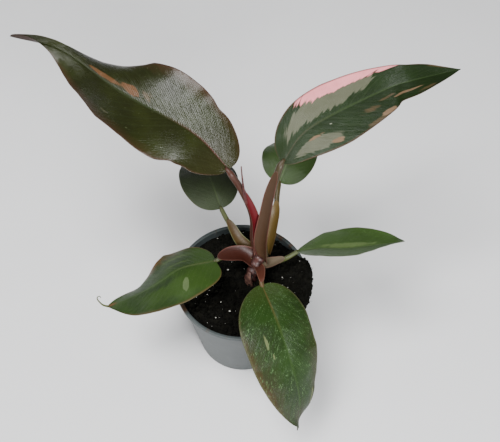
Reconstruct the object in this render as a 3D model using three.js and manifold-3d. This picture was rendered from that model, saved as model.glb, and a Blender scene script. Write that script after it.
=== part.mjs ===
// A young variegated philodendron in a small plastic nursery pot.
// Millimetres, +Z up. The origin is the middle of the pot's underside; +X runs along the
// plant's widest spread and +Y points to the side its two tall leaves lean to.
import * as THREE from 'three';
import { mergeVertices } from 'three/addons/utils/BufferGeometryUtils.js';
import Module from 'manifold-3d';

const wasm = await Module();
wasm.setup();

// ---- Driving dimensions ----
const gap = 0.3;              // clearance between neighbouring pieces
const sliver = 0.01;          // edges shorter than this are merged after a cut

const potHeight = 75;
const rimRadius = 45;
const baseRadius = 32.7;
const wall = 1.0;
const floorThickness = 1.5;
const rimBand = 2.6;          // height of the turned-out lip
const rimOverhang = 1.6;      // how far the lip stands out from the wall
const roundSegments = 48;     // the pot and the soil share their facets, so the gap stays even
const baseFillet = 1.5;
const drainHoles = 6;
const drainRadius = 3;
const drainCircle = 22;

const headspace = 5;          // the soil at the stem lies this far below the rim
const heap = 1.8;             // the soil that spills over the rim stands this far above it
const overspill = 2.6;        // and reaches this far past the rim's outer edge
const edgeRound = 1.2;        // height that the soil's top rounds off over at the wall

const stemRadius = 4.6;
const stemDepth = 14;         // how deep the stem stands in the soil
const rootCount = 6;
const rootRadius = 1.1;
const rootTipRadius = 0.6;

const bladeThickness = 0.9;
const bladeEdge = 0.6;        // thickness at the leaf margin
const tipHalfWidth = 0.45;
const baseShare = 0.06;       // width of a blade where it meets its stalk, as a share of its widest
const sheathThickness = 1.1;

// The leaf tables are drawn for a rim of this radius; the leaves spread with the rim, so
// that those which hang over it keep clear of it.
const drawnRim = 45;
const spread = rimRadius / drawnRim;
const soilLine = potHeight - headspace;

// ---- Small helpers ----
const mix = (a, b, t) => a + (b - a) * t;
const clamp01 = (t) => Math.min(1, Math.max(0, t));

function smooth(from, to, value) {
  const t = clamp01((value - from) / (to - from));
  return t * t * (3 - 2 * t);
}

// Points of the plant: x and y from the pot's axis, z up from the rim or from the soil line.
const fromRim = ([x, y, z]) => new THREE.Vector3(x * spread, y * spread, potHeight + z);
const fromSoil = ([x, y, z]) => new THREE.Vector3(x * spread, y * spread, soilLine + z);

function smoothCurve(points) {
  return new THREE.CatmullRomCurve3(points, false, 'catmullrom', 0.5);
}

// Three directions at share s of a curve: along it, to its left and out of its upper face.
function frameAt(curve, s, face) {
  const along = curve.getTangentAt(s);
  const up = new THREE.Vector3(...face[0]).lerp(new THREE.Vector3(...face[1]), s);
  const left = up.cross(along).normalize();
  const out = new THREE.Vector3().crossVectors(along, left);
  return { along, left, out };
}

// ---- The scene graph ----
const plant = new THREE.Group();

function addPiece(name, geometry, color, roughness) {
  const material = new THREE.MeshStandardMaterial({ color, roughness, metalness: 0 });
  const mesh = new THREE.Mesh(geometry, material);
  mesh.name = name;
  plant.add(mesh);
  return mesh;
}

// ---- Closed meshes from rings of points ----
// Each ring has the same number of points; neighbours are joined and both ends closed.
function loft(rings) {
  const sides = rings[0].length;
  const positions = rings.flat().flatMap((p) => [p.x, p.y, p.z]);
  const index = [];
  for (let i = 0; i + 1 < rings.length; i += 1) {
    for (let j = 0; j < sides; j += 1) {
      const a = i * sides + j;
      const b = i * sides + (j + 1) % sides;
      index.push(a, b, b + sides, a, b + sides, a + sides);
    }
  }
  const ends = [[0, false], [(rings.length - 1) * sides, true]];
  for (const [first, last] of ends) {
    for (let j = 1; j + 1 < sides; j += 1) {
      const fan = [first, first + j, first + j + 1];
      index.push(...(last ? fan : fan.reverse()));
    }
  }
  const geometry = new THREE.BufferGeometry();
  geometry.setAttribute('position', new THREE.Float32BufferAttribute(positions, 3));
  geometry.setIndex(index);
  geometry.computeVertexNormals();
  return geometry;
}

// ---- Booleans ----
function toSolid(geometry) {
  const bare = geometry.clone();
  bare.deleteAttribute('normal');
  bare.deleteAttribute('uv');
  const merged = mergeVertices(bare, 1e-4);
  return new wasm.Manifold(new wasm.Mesh({
    numProp: 3,
    vertProperties: new Float32Array(merged.attributes.position.array),
    triVerts: new Uint32Array(merged.index.array),
  }));
}

// The largest body of a solid, without the chips and the sliver edges that a cut leaves.
function toGeometry(solid) {
  const bodies = solid.decompose().sort((a, b) => b.volume() - a.volume());
  const mesh = bodies[0].simplify(sliver).getMesh();
  const geometry = new THREE.BufferGeometry();
  geometry.setAttribute('position', new THREE.Float32BufferAttribute(mesh.vertProperties, 3));
  geometry.setIndex(Array.from(mesh.triVerts));
  geometry.computeVertexNormals();
  return geometry;
}

// ---- Ribbons and rods: stalks, sheaths, the stem, the roots ----
// half, thick and wrap are functions of the share s along the path. wrap is the angle that
// the section bends through: 0 is a flat or round section, more is a gutter open to the
// upper face. grow makes a larger copy that cuts its neighbours with clearance.
function ribbon({ path, face, half, thick, wrap = () => 0, steps = 10, sides = 8 }, grow = 0) {
  const curve = smoothCurve(path);
  const rings = [];
  for (let i = 0; i <= steps; i += 1) {
    const s = i / steps;
    const { along, left, out } = frameAt(curve, s, face);
    const centre = curve.getPointAt(s);
    if (grow && i === 0) centre.addScaledVector(along, -grow);
    if (grow && i === steps) centre.addScaledVector(along, grow);
    const bend = wrap(s) / 2;
    const ring = [];
    for (let j = 0; j < sides; j += 1) {
      const turn = (2 * Math.PI * j) / sides;
      const across = Math.cos(turn);
      const depth = (thick(s) / 2 + grow) * Math.sin(turn);
      const reach = (half(s) + grow) * across;
      const angle = (bend / half(s)) * reach;
      const middle = bend > 0 ? (half(s) / bend) * Math.sin(angle) : reach;
      const raised = bend > 0 ? (half(s) / bend) * (1 - Math.cos(angle)) : 0;
      ring.push(centre.clone()
        .addScaledVector(left, middle - depth * Math.sin(angle))
        .addScaledVector(out, raised + depth * Math.cos(angle)));
    }
    rings.push(ring);
  }
  return loft(rings);
}

const taper = (from, to) => (s) => mix(from, to, s);

// ---- Leaf blades ----
// Width along the blade as a share of its widest: a round shoulder up to the widest place,
// then a taper to the tip.
function outline(s, { widest, shoulder, taperStart, point }) {
  if (s < widest) {
    const rise = 1 - (1 - s / widest) ** 2;
    return baseShare + (1 - baseShare) * rise ** shoulder;
  }
  const u = (s - widest) / (1 - widest);
  return (1 - u ** taperStart) ** point;
}

// A point of the blade's middle surface at share s along and t across, t from -1 to 1.
function bladePoint(leaf, curve, s, t) {
  const { along, left, out } = frameAt(curve, s, leaf.face);
  const side = t >= 0 ? 0 : 1;
  const share = outline(s, leaf.shape);
  const reach = Math.abs(t) * Math.max(tipHalfWidth, leaf.half[side] * share);
  const fold = THREE.MathUtils.degToRad(leaf.fold);
  const [height, waves, phase] = leaf.wave[side];
  const ripple = height * Math.sin(2 * Math.PI * (waves * s + phase)) * t * t
    * Math.sqrt(Math.sin(Math.PI * s));
  const lift = reach * Math.sin(fold) - 0.5 * leaf.camber * reach * reach + ripple;
  const back = leaf.lobe[side] * (1 - s) ** 4 * (share * Math.abs(t)) ** 1.6;
  const point = curve.getPointAt(s)
    .addScaledVector(left, Math.sign(t) * reach * Math.cos(fold))
    .addScaledVector(out, lift)
    .addScaledVector(along, -back);
  return { point, along, out };
}

function blade(leaf, grow = 0) {
  const rows = 18;
  const columns = 6;
  const curve = smoothCurve(leaf.rib.map(fromRim));
  const rings = [];
  for (let i = 0; i <= rows; i += 1) {
    const s = 0.5 * (1 - Math.cos(Math.PI * i / rows));
    const top = [];
    const under = [];
    for (let j = 0; j <= columns; j += 1) {
      const t = 1 - (2 * j) / columns;
      const { point, along, out } = bladePoint(leaf, curve, s, t);
      if (grow && i === 0) point.addScaledVector(along, -grow);
      const half = mix(bladeThickness, bladeEdge, Math.abs(t)) / 2 + grow;
      top.push(point.clone().addScaledVector(out, half));
      under.unshift(point.clone().addScaledVector(out, -half));
    }
    rings.push([...top, ...under]);
  }
  return loft(rings);
}

// ---- The leaves ----
// Every leaf has its midrib from the stalk to the tip, half widths left and right, the
// outline's shape, base lobes, the direction that its upper face looks in at base and tip,
// waves of the margin (height, number, phase), a fold along the midrib in degrees, and a
// camber. Its stalk has the way from the stem to the blade, radii at both ends and a face.
// The sheath lies along the stalk's upper face up to the share reach, half width wide,
// bent through wrap at its foot, and stands clear of the stalk by free at its tip.
const leaves = {
  upper_left: {
    rib: [[-7.3, 31.2, 75], [-30.2, 52.6, 86], [-74.5, 75.9, 97], [-113.6, 102, 109], [-145.6, 109, 115]],
    half: [33.3, 29.8],
    shape: { widest: 0.49, shoulder: 0.54, taperStart: 1.1, point: 1.86 },
    lobe: [6.3, 14.6],
    face: [[0.05, -0.29, 0.85], [0.05, 0.23, 0.85]],
    wave: [[8, 2.02, 0.24], [7.3, 1.63, 0.69]],
    fold: 12,
    camber: 0.003,
    stalk: {
      way: [
        [10.4, 15.6, 7], [8.1, 20.8, 17], [7.8, 25.7, 32], [4.7, 27.9, 46], [-0.8, 30, 61], [-5.2, 29.8, 72],
      ],
      radius: [2.6, 2.1],
      face: [[0.6, -0.8, 0.2], [0.6, -0.8, 0.5]],
    },
    sheath: { reach: 0.74, width: 4.6, wrap: 3.0, free: 0.6 },
  },
  upper_right: {
    rib: [[25.2, 38.7, 75], [42.2, 55.4, 88], [87.3, 76.4, 99], [106.5, 79.6, 105], [137.7, 91.6, 103]],
    half: [20.7, 22.4],
    shape: { widest: 0.36, shoulder: 0.78, taperStart: 1.35, point: 0.88 },
    lobe: [13.1, 10.8],
    face: [[-0.05, -0.43, 0.85], [-0.05, -0.16, 0.85]],
    wave: [[1, 3.1, -0.4], [1.8, 0.77, -0.38]],
    fold: 12,
    camber: 0.003,
    stalk: {
      way: [[14.9, 12.6, 5], [13.9, 18.6, 19], [16.4, 25.5, 39], [18.9, 30.3, 55], [23.1, 35.9, 71]],
      radius: [3.0, 2.2],
      face: [[-0.9, -0.4, 0.2], [-0.8, -0.5, 0.4]],
    },
    sheath: { reach: 0.9, width: 7.6, wrap: 3.6, free: 1.2 },
  },
  left: {
    rib: [[-17.4, 7.6, 11], [-39.5, 0.6, 13], [-53.9, -6.2, 7], [-69.6, -10.2, -3], [-91.4, -12.9, -15]],
    half: [25.5, 26.1],
    shape: { widest: 0.43, shoulder: 0.49, taperStart: 1.37, point: 0.92 },
    lobe: [16.3, 8],
    face: [[-0.1, 0.24, 0.95], [-0.1, 0.3, 0.95]],
    wave: [[1.4, 2.1, 0.09], [2.7, 2.22, 0.04]],
    fold: -8,
    camber: 0.003,
    stalk: {
      way: [[9, 13.5, 3], [1, 14.4, 8], [-7, 12.2, 11], [-14, 9.3, 11.6]],
      radius: [1.9, 1.5],
      face: [[0, -0.4, 0.9], [0, -0.2, 0.95]],
    },
    sheath: { reach: 0.9, width: 7.4, wrap: 2.2, free: 3 },
  },
  front: {
    rib: [[13.1, -8.4, 7], [22.3, -35.6, 9], [30.5, -56.7, -3], [37, -74.7, -25], [36.5, -86.9, -47]],
    half: [23, 25.5],
    shape: { widest: 0.34, shoulder: 0.65, taperStart: 3.27, point: 1.28 },
    lobe: [12.6, 2.1],
    face: [[0.1, -0.05, 0.95], [0.1, 0.52, 0.95]],
    wave: [[1.7, 1.63, 0.23], [0, 1, 0]],
    fold: 2,
    camber: 0.012,
    stalk: {
      way: [[10, 9, 1], [12.1, 2.2, 6], [12.8, -5, 7.8]],
      radius: [1.9, 1.6],
      face: [[0, 0.3, 0.9], [0, 0.1, 0.95]],
    },
    sheath: { reach: 0.86, width: 4.4, wrap: 2.4, free: 1.6 },
  },
  right: {
    rib: [[37.4, 13.7, 13], [52.4, 12, 19], [70.7, 10.3, 22], [99.8, 14.4, 22], [108.3, 18.4, 18]],
    half: [20.6, 20.5],
    shape: { widest: 0.4, shoulder: 0.89, taperStart: 1.98, point: 1.15 },
    lobe: [-0.8, 4.7],
    face: [[0, 0.41, 0.95], [0, 0.67, 0.95]],
    wave: [[2.9, 0.73, 0.62], [1.2, 0.97, 0.47]],
    fold: 18,
    camber: 0.003,
    stalk: {
      way: [[13.6, 10.4, 1], [20.3, 9.7, 5], [28.8, 10.1, 9.5], [35, 12.6, 12]],
      radius: [1.9, 1.4],
      face: [[0, -0.3, 0.9], [0, 0, 0.95]],
    },
    sheath: { reach: 0.62, width: 4.6, wrap: 2.4, free: 0.8 },
  },
  back_left: {
    rib: [[-14.2, 40.7, 25], [-19, 53, 31], [-24, 68, 31], [-29, 84, 23], [-34, 98, 11]],
    half: [21, 19],
    shape: { widest: 0.36, shoulder: 0.6, taperStart: 1.9, point: 1.0 },
    lobe: [5, 5],
    face: [[0.05, -0.35, 0.9], [0.05, 0.5, 0.9]],
    wave: [[1.2, 1.1, 0.1], [1, 1.2, 0.3]],
    fold: 3,
    camber: 0.008,
    stalk: {
      way: [[8.6, 17, 4], [-1.6, 23.6, 11], [-6.8, 29.7, 17], [-11.6, 36.5, 22]],
      radius: [2, 1.6],
      face: [[0.4, -0.6, 0.7], [0.2, -0.5, 0.8]],
    },
    sheath: { reach: 0.76, width: 5.2, wrap: 2, free: 1.4 },
  },
  back_right: {
    rib: [[25, 52, 39], [30, 63, 45], [35, 77, 44], [39, 92, 35], [42, 104, 23]],
    half: [19, 18],
    shape: { widest: 0.36, shoulder: 0.55, taperStart: 1.8, point: 1.0 },
    lobe: [5, 5],
    face: [[-0.05, -0.45, 0.9], [-0.05, 0.5, 0.9]],
    wave: [[1, 1.1, 0.2], [1, 1.3, 0.5]],
    fold: 3,
    camber: 0.008,
    stalk: {
      way: [[16, 18.4, 6], [19.6, 26.3, 19], [22.6, 34.5, 31], [23.6, 44, 37]],
      radius: [2.2, 1.7],
      face: [[-0.2, -0.8, 0.4], [-0.1, -0.7, 0.6]],
    },
    sheath: { reach: 0.72, width: 5.4, wrap: 2.6, free: 1 },
  },
};

// The stalk's way ends with a short knee that turns it into the midrib.
function stalkPath(leaf) {
  const curve = smoothCurve(leaf.rib.map(fromRim));
  const end = curve.getPointAt(0).addScaledVector(curve.getTangentAt(0), -gap);
  return [...leaf.stalk.way.map(fromRim), end];
}

function stalkRod(leaf, grow) {
  const { radius, face } = leaf.stalk;
  return ribbon({
    path: stalkPath(leaf),
    face,
    half: taper(...radius),
    thick: (s) => 2 * mix(...radius, s),
  }, grow);
}

// The sheath follows the stalk's upper face up to its reach, then ends in a round tip.
function sheath(leaf, grow) {
  const { reach, width, wrap, free } = leaf.sheath;
  const { face, radius } = leaf.stalk;
  const curve = smoothCurve(stalkPath(leaf));
  const path = [];
  const stations = 6;
  for (let i = 0; i <= stations; i += 1) {
    const share = i / stations;
    const { out } = frameAt(curve, share * reach, face);
    const lift = 0.5 * mix(...radius, share * reach) + free * share ** 3;
    path.push(curve.getPointAt(share * reach).addScaledVector(out, lift));
  }
  return ribbon({
    path,
    face: [face[0], face[0].map((value, axis) => mix(value, face[1][axis], reach))],
    half: (s) => Math.max(tipHalfWidth, width * mix(1, 0.62, s) * Math.sqrt(1 - s ** 5)),
    thick: () => sheathThickness,
    wrap: taper(wrap, wrap * 0.3),
  }, grow);
}

function stalkSolid(leaf, grow = 0) {
  return toSolid(stalkRod(leaf, grow)).add(toSolid(sheath(leaf, grow)));
}

// ---- Stem, roots, old sheath and the rolled new leaf ----
const stemWay = [
  ...[[4, -1, -stemDepth], [5, 2, -3]].map(fromSoil),
  ...[[9, 10, 2], [12.4, 14, 7]].map(fromRim),
];

function stem(grow) {
  return ribbon({
    path: stemWay,
    face: [[0, -1, 0.3], [0, -1, 0.3]],
    half: taper(stemRadius, 0.85 * stemRadius),
    thick: (s) => 2 * mix(stemRadius, 0.85 * stemRadius, s),
    steps: 8,
  }, grow);
}

const innerRadius = (z) => mix(baseRadius, rimRadius - rimOverhang, z / potHeight) - wall;

// The roots leave the foot of the stem, spread out and run down near the pot's wall.
function root(number, grow) {
  const turn = (2 * Math.PI * number) / rootCount + 0.4;
  const foot = stemWay[0];
  const floor = floorThickness + 3 * rootRadius + 2 * (number % 3);
  const along = (share, height) => new THREE.Vector3(
    mix(foot.x, Math.cos(turn) * innerRadius(height), share),
    mix(foot.y, Math.sin(turn) * innerRadius(height), share),
    height,
  );
  const start = foot.z + rootRadius + gap;
  const path = [
    along(0, start).add(new THREE.Vector3(Math.cos(turn), Math.sin(turn), 0)
      .multiplyScalar(stemRadius + rootRadius + gap)),
    along(0.45, mix(start, floor, 0.2)),
    along(0.78, mix(start, floor, 0.55)),
    along(0.85, floor),
  ];
  return ribbon({
    path,
    face: [[0, 0, 1], [Math.cos(turn), Math.sin(turn), 0.4]],
    half: taper(rootRadius, rootTipRadius),
    thick: (s) => 2 * mix(rootRadius, rootTipRadius, s),
    steps: 8,
    sides: 6,
  }, grow);
}

// The hollow in the soil round the foot of the stem, where all the roots start.
function rootCrown() {
  const radius = stemRadius + rootRadius + 2 * gap;
  const crown = new THREE.CylinderGeometry(radius, radius, 2 * radius, 16);
  crown.rotateX(Math.PI / 2);
  return crown.translate(stemWay[0].x, stemWay[0].y, stemWay[0].z + rootRadius);
}

// A dried sheath that still clasps the foot of the stem, clear of the highest soil below it.
const oldSheathWay = [[3.6, -1.6, 0], [3.8, 0, 2.2], [4.6, 3, 5.2]];
const oldSheathHalf = 5.2;
const oldSheathClearance = 2.5;

function oldSheath() {
  const across = new THREE.Vector3(0.78, -0.62, 0).multiplyScalar(oldSheathHalf);
  const below = oldSheathWay.map(fromSoil).flatMap((point) => (
    [-1, -0.5, 0, 0.5, 1].map((share) => point.clone().addScaledVector(across, share))
  ));
  const ground = Math.max(...below.map((point) => soilTop(point.x, point.y)));
  const rise = ground + oldSheathClearance - soilLine;
  return ribbon({
    path: oldSheathWay.map(([x, y, z]) => fromSoil([x, y, z + rise])),
    face: [[0.6, 0.75, 0.2], [0.6, 0.75, 0.2]],
    half: taper(oldSheathHalf, 1.4),
    thick: () => sheathThickness,
    wrap: taper(2.2, 1.4),
    steps: 8,
    sides: 14,
  });
}

// The next leaf, still rolled: its thin tip stands out of the tallest stalk's sheath.
function newLeaf(grow) {
  return ribbon({
    path: [[3.2, 26.4, 48], [2, 27.2, 57], [0.8, 28, 71], [0.1, 29.1, 83]].map(fromRim),
    face: [[0, -1, 0], [0, -1, 0]],
    half: taper(1, 0.4),
    thick: (s) => 2 * mix(1, 0.4, s),
    steps: 8,
    sides: 6,
  }, grow);
}

// ---- Pot ----
function pot() {
  const bandBottom = potHeight - rimBand;
  const outer = (z) => mix(baseRadius, rimRadius - rimOverhang, z / potHeight);
  const fillet = [];
  const filletSteps = 3;
  for (let i = 0; i <= filletSteps; i += 1) {
    const turn = (i / filletSteps) * Math.PI / 2;
    fillet.push([outer(baseFillet) - baseFillet * (1 - Math.sin(turn)), baseFillet * (1 - Math.cos(turn))]);
  }
  const profile = [
    [0, 0],
    ...fillet,
    [outer(bandBottom), bandBottom],
    [rimRadius, bandBottom],
    [rimRadius, potHeight - 0.4],
    [rimRadius - 0.4, potHeight],
    [innerRadius(potHeight), potHeight],
    [innerRadius(floorThickness), floorThickness],
    [0, floorThickness],
  ].map(([r, z]) => new THREE.Vector2(r, z));
  const shell = new THREE.LatheGeometry(profile, roundSegments);
  shell.rotateX(Math.PI / 2);
  let solid = toSolid(shell);
  for (let i = 0; i < drainHoles; i += 1) {
    const turn = (2 * Math.PI * i) / drainHoles;
    const hole = new THREE.CylinderGeometry(drainRadius, drainRadius, 3 * floorThickness, 12);
    hole.rotateX(Math.PI / 2);
    hole.translate(Math.cos(turn) * drainCircle, Math.sin(turn) * drainCircle, floorThickness / 2);
    solid = solid.subtract(toSolid(hole));
  }
  return toGeometry(solid);
}

// ---- Soil ----
// The soil has settled at the back left, comes near the rim in front, and spills over it
// on the right. The share of the spill is 1 where it covers the rim.
function spillShare(turn, margin) {
  const degrees = THREE.MathUtils.radToDeg(turn);
  return smooth(-42 - margin, -30 - margin, degrees) * (1 - smooth(14 + margin, 26 + margin, degrees));
}

function soilEdge(turn) {
  const settled = soilLine - 0.5 - 0.25 * headspace * Math.sin(turn);
  return mix(settled, potHeight + gap + heap, spillShare(turn, 16));
}

function lumps(x, y) {
  return 0.7 * Math.sin(x / 3.7 + 1) * Math.cos(y / 4.6) + 0.5 * Math.sin(x / 2.1 - y / 2.7);
}

function soilTop(x, y) {
  const turn = Math.atan2(y, x);
  const out = clamp01(Math.hypot(x, y) / innerRadius(potHeight));
  const clump = 7 * Math.exp(-((x - 1) ** 2 + (y - 0.8 * rimRadius) ** 2) / 30);
  return mix(soilLine, soilEdge(turn), out ** 3) + lumps(x, y) * (1 - 0.6 * out) + clump;
}

function soilBody() {
  const below = floorThickness + gap;
  const topShares = [0.97, 0.88, 0.76, 0.64, 0.52, 0.4, 0.28, 0.16, 0.06];
  const rings = Array.from({ length: 5 + topShares.length }, () => []);
  for (let j = 0; j < roundSegments; j += 1) {
    const turn = -Math.PI + (2 * Math.PI * j) / roundSegments;
    const direction = new THREE.Vector3(Math.cos(turn), Math.sin(turn), 0);
    const edge = soilEdge(turn);
    const spill = spillShare(turn, 0);
    const foot = Math.min(potHeight + gap, edge - edgeRound);
    const wallRadius = innerRadius(Math.min(foot, potHeight)) - gap;
    const outerRadius = mix(wallRadius, rimRadius + overspill, spill);
    const at = (radius, z) => direction.clone().multiplyScalar(radius).setZ(z);
    rings[0].push(at(innerRadius(below) - gap - 1, below));
    rings[1].push(at(innerRadius(below + 1) - gap, below + 1));
    rings[2].push(at(wallRadius, foot));
    rings[3].push(at(outerRadius, mix(foot, edge, 0.15)));
    rings[4].push(at(outerRadius, mix(foot, edge, 0.7)));
    topShares.forEach((share, k) => {
      const place = at(outerRadius * share, 0);
      rings[5 + k].push(place.setZ(soilTop(place.x, place.y)));
    });
  }
  return loft(rings);
}

// ---- Perlite: pale grains that lie on the soil ----
const grains = [
  [-8, -22, 1.3], [-1, -25, 1.1], [-14, -15, 1.0], [6, -17, 1.2], [-22, -6, 1.1],
  [-17, -27, 1.0], [-24, 14, 1.4], [-12, 25, 1.1], [27, -4, 1.2], [24, -22, 1.0],
];

const grainDepth = 0.7;       // a grain's half height as a share of its radius

function addGrain([x, y, radius], number) {
  const geometry = mergeVertices(new THREE.DodecahedronGeometry(radius));
  geometry.scale(1, 0.8, grainDepth);
  const [centreX, centreY] = [x * spread, y * spread];
  const around = [[0, 0], [1, 0], [-1, 0], [0, 1], [0, -1]];
  const heights = around.map(([dx, dy]) => soilTop(centreX + dx * radius, centreY + dy * radius));
  const mesh = addPiece(`perlite_${number + 1}`, geometry, 0xe6e4dc, 0.9);
  mesh.position.set(centreX, centreY, Math.max(...heights) + gap + grainDepth * radius);
  mesh.rotation.z = number;
}

// ---- Assembly ----
addPiece('pot', pot(), 0x9fb0b8, 0.45);
addPiece('stem', stem(0), 0x6b2f2a, 0.5);
addPiece('new_leaf', newLeaf(0), 0x7a2430, 0.4);

// From the youngest stalk out, each clasps the ones before it and is cut clear of them.
const claspOrder = ['upper_right', 'upper_left', 'back_right', 'back_left', 'left', 'right', 'front'];
const cutters = [toSolid(stem(gap)), toSolid(newLeaf(gap))];
for (const name of claspOrder) {
  const leaf = leaves[name];
  const blank = stalkSolid(leaf).subtract(toSolid(blade(leaf, gap)));
  const solid = cutters.reduce((rest, cutter) => rest.subtract(cutter), blank);
  cutters.push(stalkSolid(leaf, gap));
  addPiece(`stalk_${name}`, toGeometry(solid), 0x8a4038, 0.45);
  addPiece(`leaf_${name}`, blade(leaf), 0x3f6b34, 0.35);
}

addPiece('old_sheath', toGeometry(toSolid(oldSheath()).subtract(toSolid(stem(gap)))), 0x7d3b35, 0.7);

let soil = toSolid(soilBody()).subtract(toSolid(stem(gap))).subtract(toSolid(rootCrown()));
for (let number = 0; number < rootCount; number += 1) {
  soil = soil.subtract(toSolid(root(number, gap)));
  addPiece(`root_${number + 1}`, root(number, 0), 0xcbb89a, 0.8);
}
addPiece('soil', toGeometry(soil), 0x1d1a17, 0.95);

grains.forEach(addGrain);

export default plant;
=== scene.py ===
"""A young variegated philodendron in a small plastic nursery pot, built round its CAD frame."""

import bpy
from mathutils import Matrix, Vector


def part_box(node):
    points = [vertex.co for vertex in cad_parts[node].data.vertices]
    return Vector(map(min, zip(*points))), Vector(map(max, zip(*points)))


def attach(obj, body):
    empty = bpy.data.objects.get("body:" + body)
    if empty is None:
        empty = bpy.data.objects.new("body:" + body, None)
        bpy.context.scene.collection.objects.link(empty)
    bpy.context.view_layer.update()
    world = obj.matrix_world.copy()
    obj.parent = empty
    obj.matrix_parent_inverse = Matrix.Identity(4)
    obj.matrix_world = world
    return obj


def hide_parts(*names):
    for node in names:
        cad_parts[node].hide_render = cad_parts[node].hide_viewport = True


bl_info = {
    "name": "Potted philodendron",
    "version": (1, 0, 0),
    "blender": (4, 5, 0),
    "location": "3D View > Sidebar > Philodendron",
    "description": "Builds the pot, soil, stalks and variegated leaves of a young philodendron",
    "category": "Add Mesh",
}

import math

import bpy
import numpy as np
from mathutils import Vector

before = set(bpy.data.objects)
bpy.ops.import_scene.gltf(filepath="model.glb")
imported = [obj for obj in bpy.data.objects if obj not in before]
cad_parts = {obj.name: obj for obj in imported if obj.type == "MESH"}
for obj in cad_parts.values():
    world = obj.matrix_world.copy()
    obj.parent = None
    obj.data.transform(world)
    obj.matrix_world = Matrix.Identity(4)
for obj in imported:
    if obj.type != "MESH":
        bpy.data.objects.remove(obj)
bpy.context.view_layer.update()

# ---- The frame: every place below is worked out from these ----

POT_LOW, POT_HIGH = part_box("pot")
RIM_HEIGHT = POT_HIGH[2]
RIM_RADIUS = (POT_HIGH[0] - POT_LOW[0]) / 2
SOIL_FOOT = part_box("soil")[0][2]
GRAIN_NODES = sorted(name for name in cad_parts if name.startswith("perlite_"))
ROOT_NODES = sorted(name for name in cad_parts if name.startswith("root_"))

MM = 0.001

# ---- The leaves ----
# Millimetres: x and y from the pot's axis, z up from the rim. Each leaf has
#   rib         its midrib, from the stalk to the tip
#   half        the greatest half width to the left and to the right of the midrib
#   shape       the outline's widest place, how full its shoulder is, how late its taper starts
#               and how pointed it ends
#   lobe        how far the two base lobes reach back
#   face        the direction that the upper face looks in, at the base and at the tip
#   wave        the waves of the left and the right margin: height, number, phase
#   fold        the rise of both halves from the midrib, in degrees
#   camber      how strongly both halves bend down
#   kinks       swells and dents of the margin: place along, side, height outward, length along
#   way         the stalk from the stem to the blade, with its radii at both ends and its faces
#   sheath      along the stalk's upper face: the share of the stalk that it reaches, half width,
#               bend across, and how far its free end stands off the stalk

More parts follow.
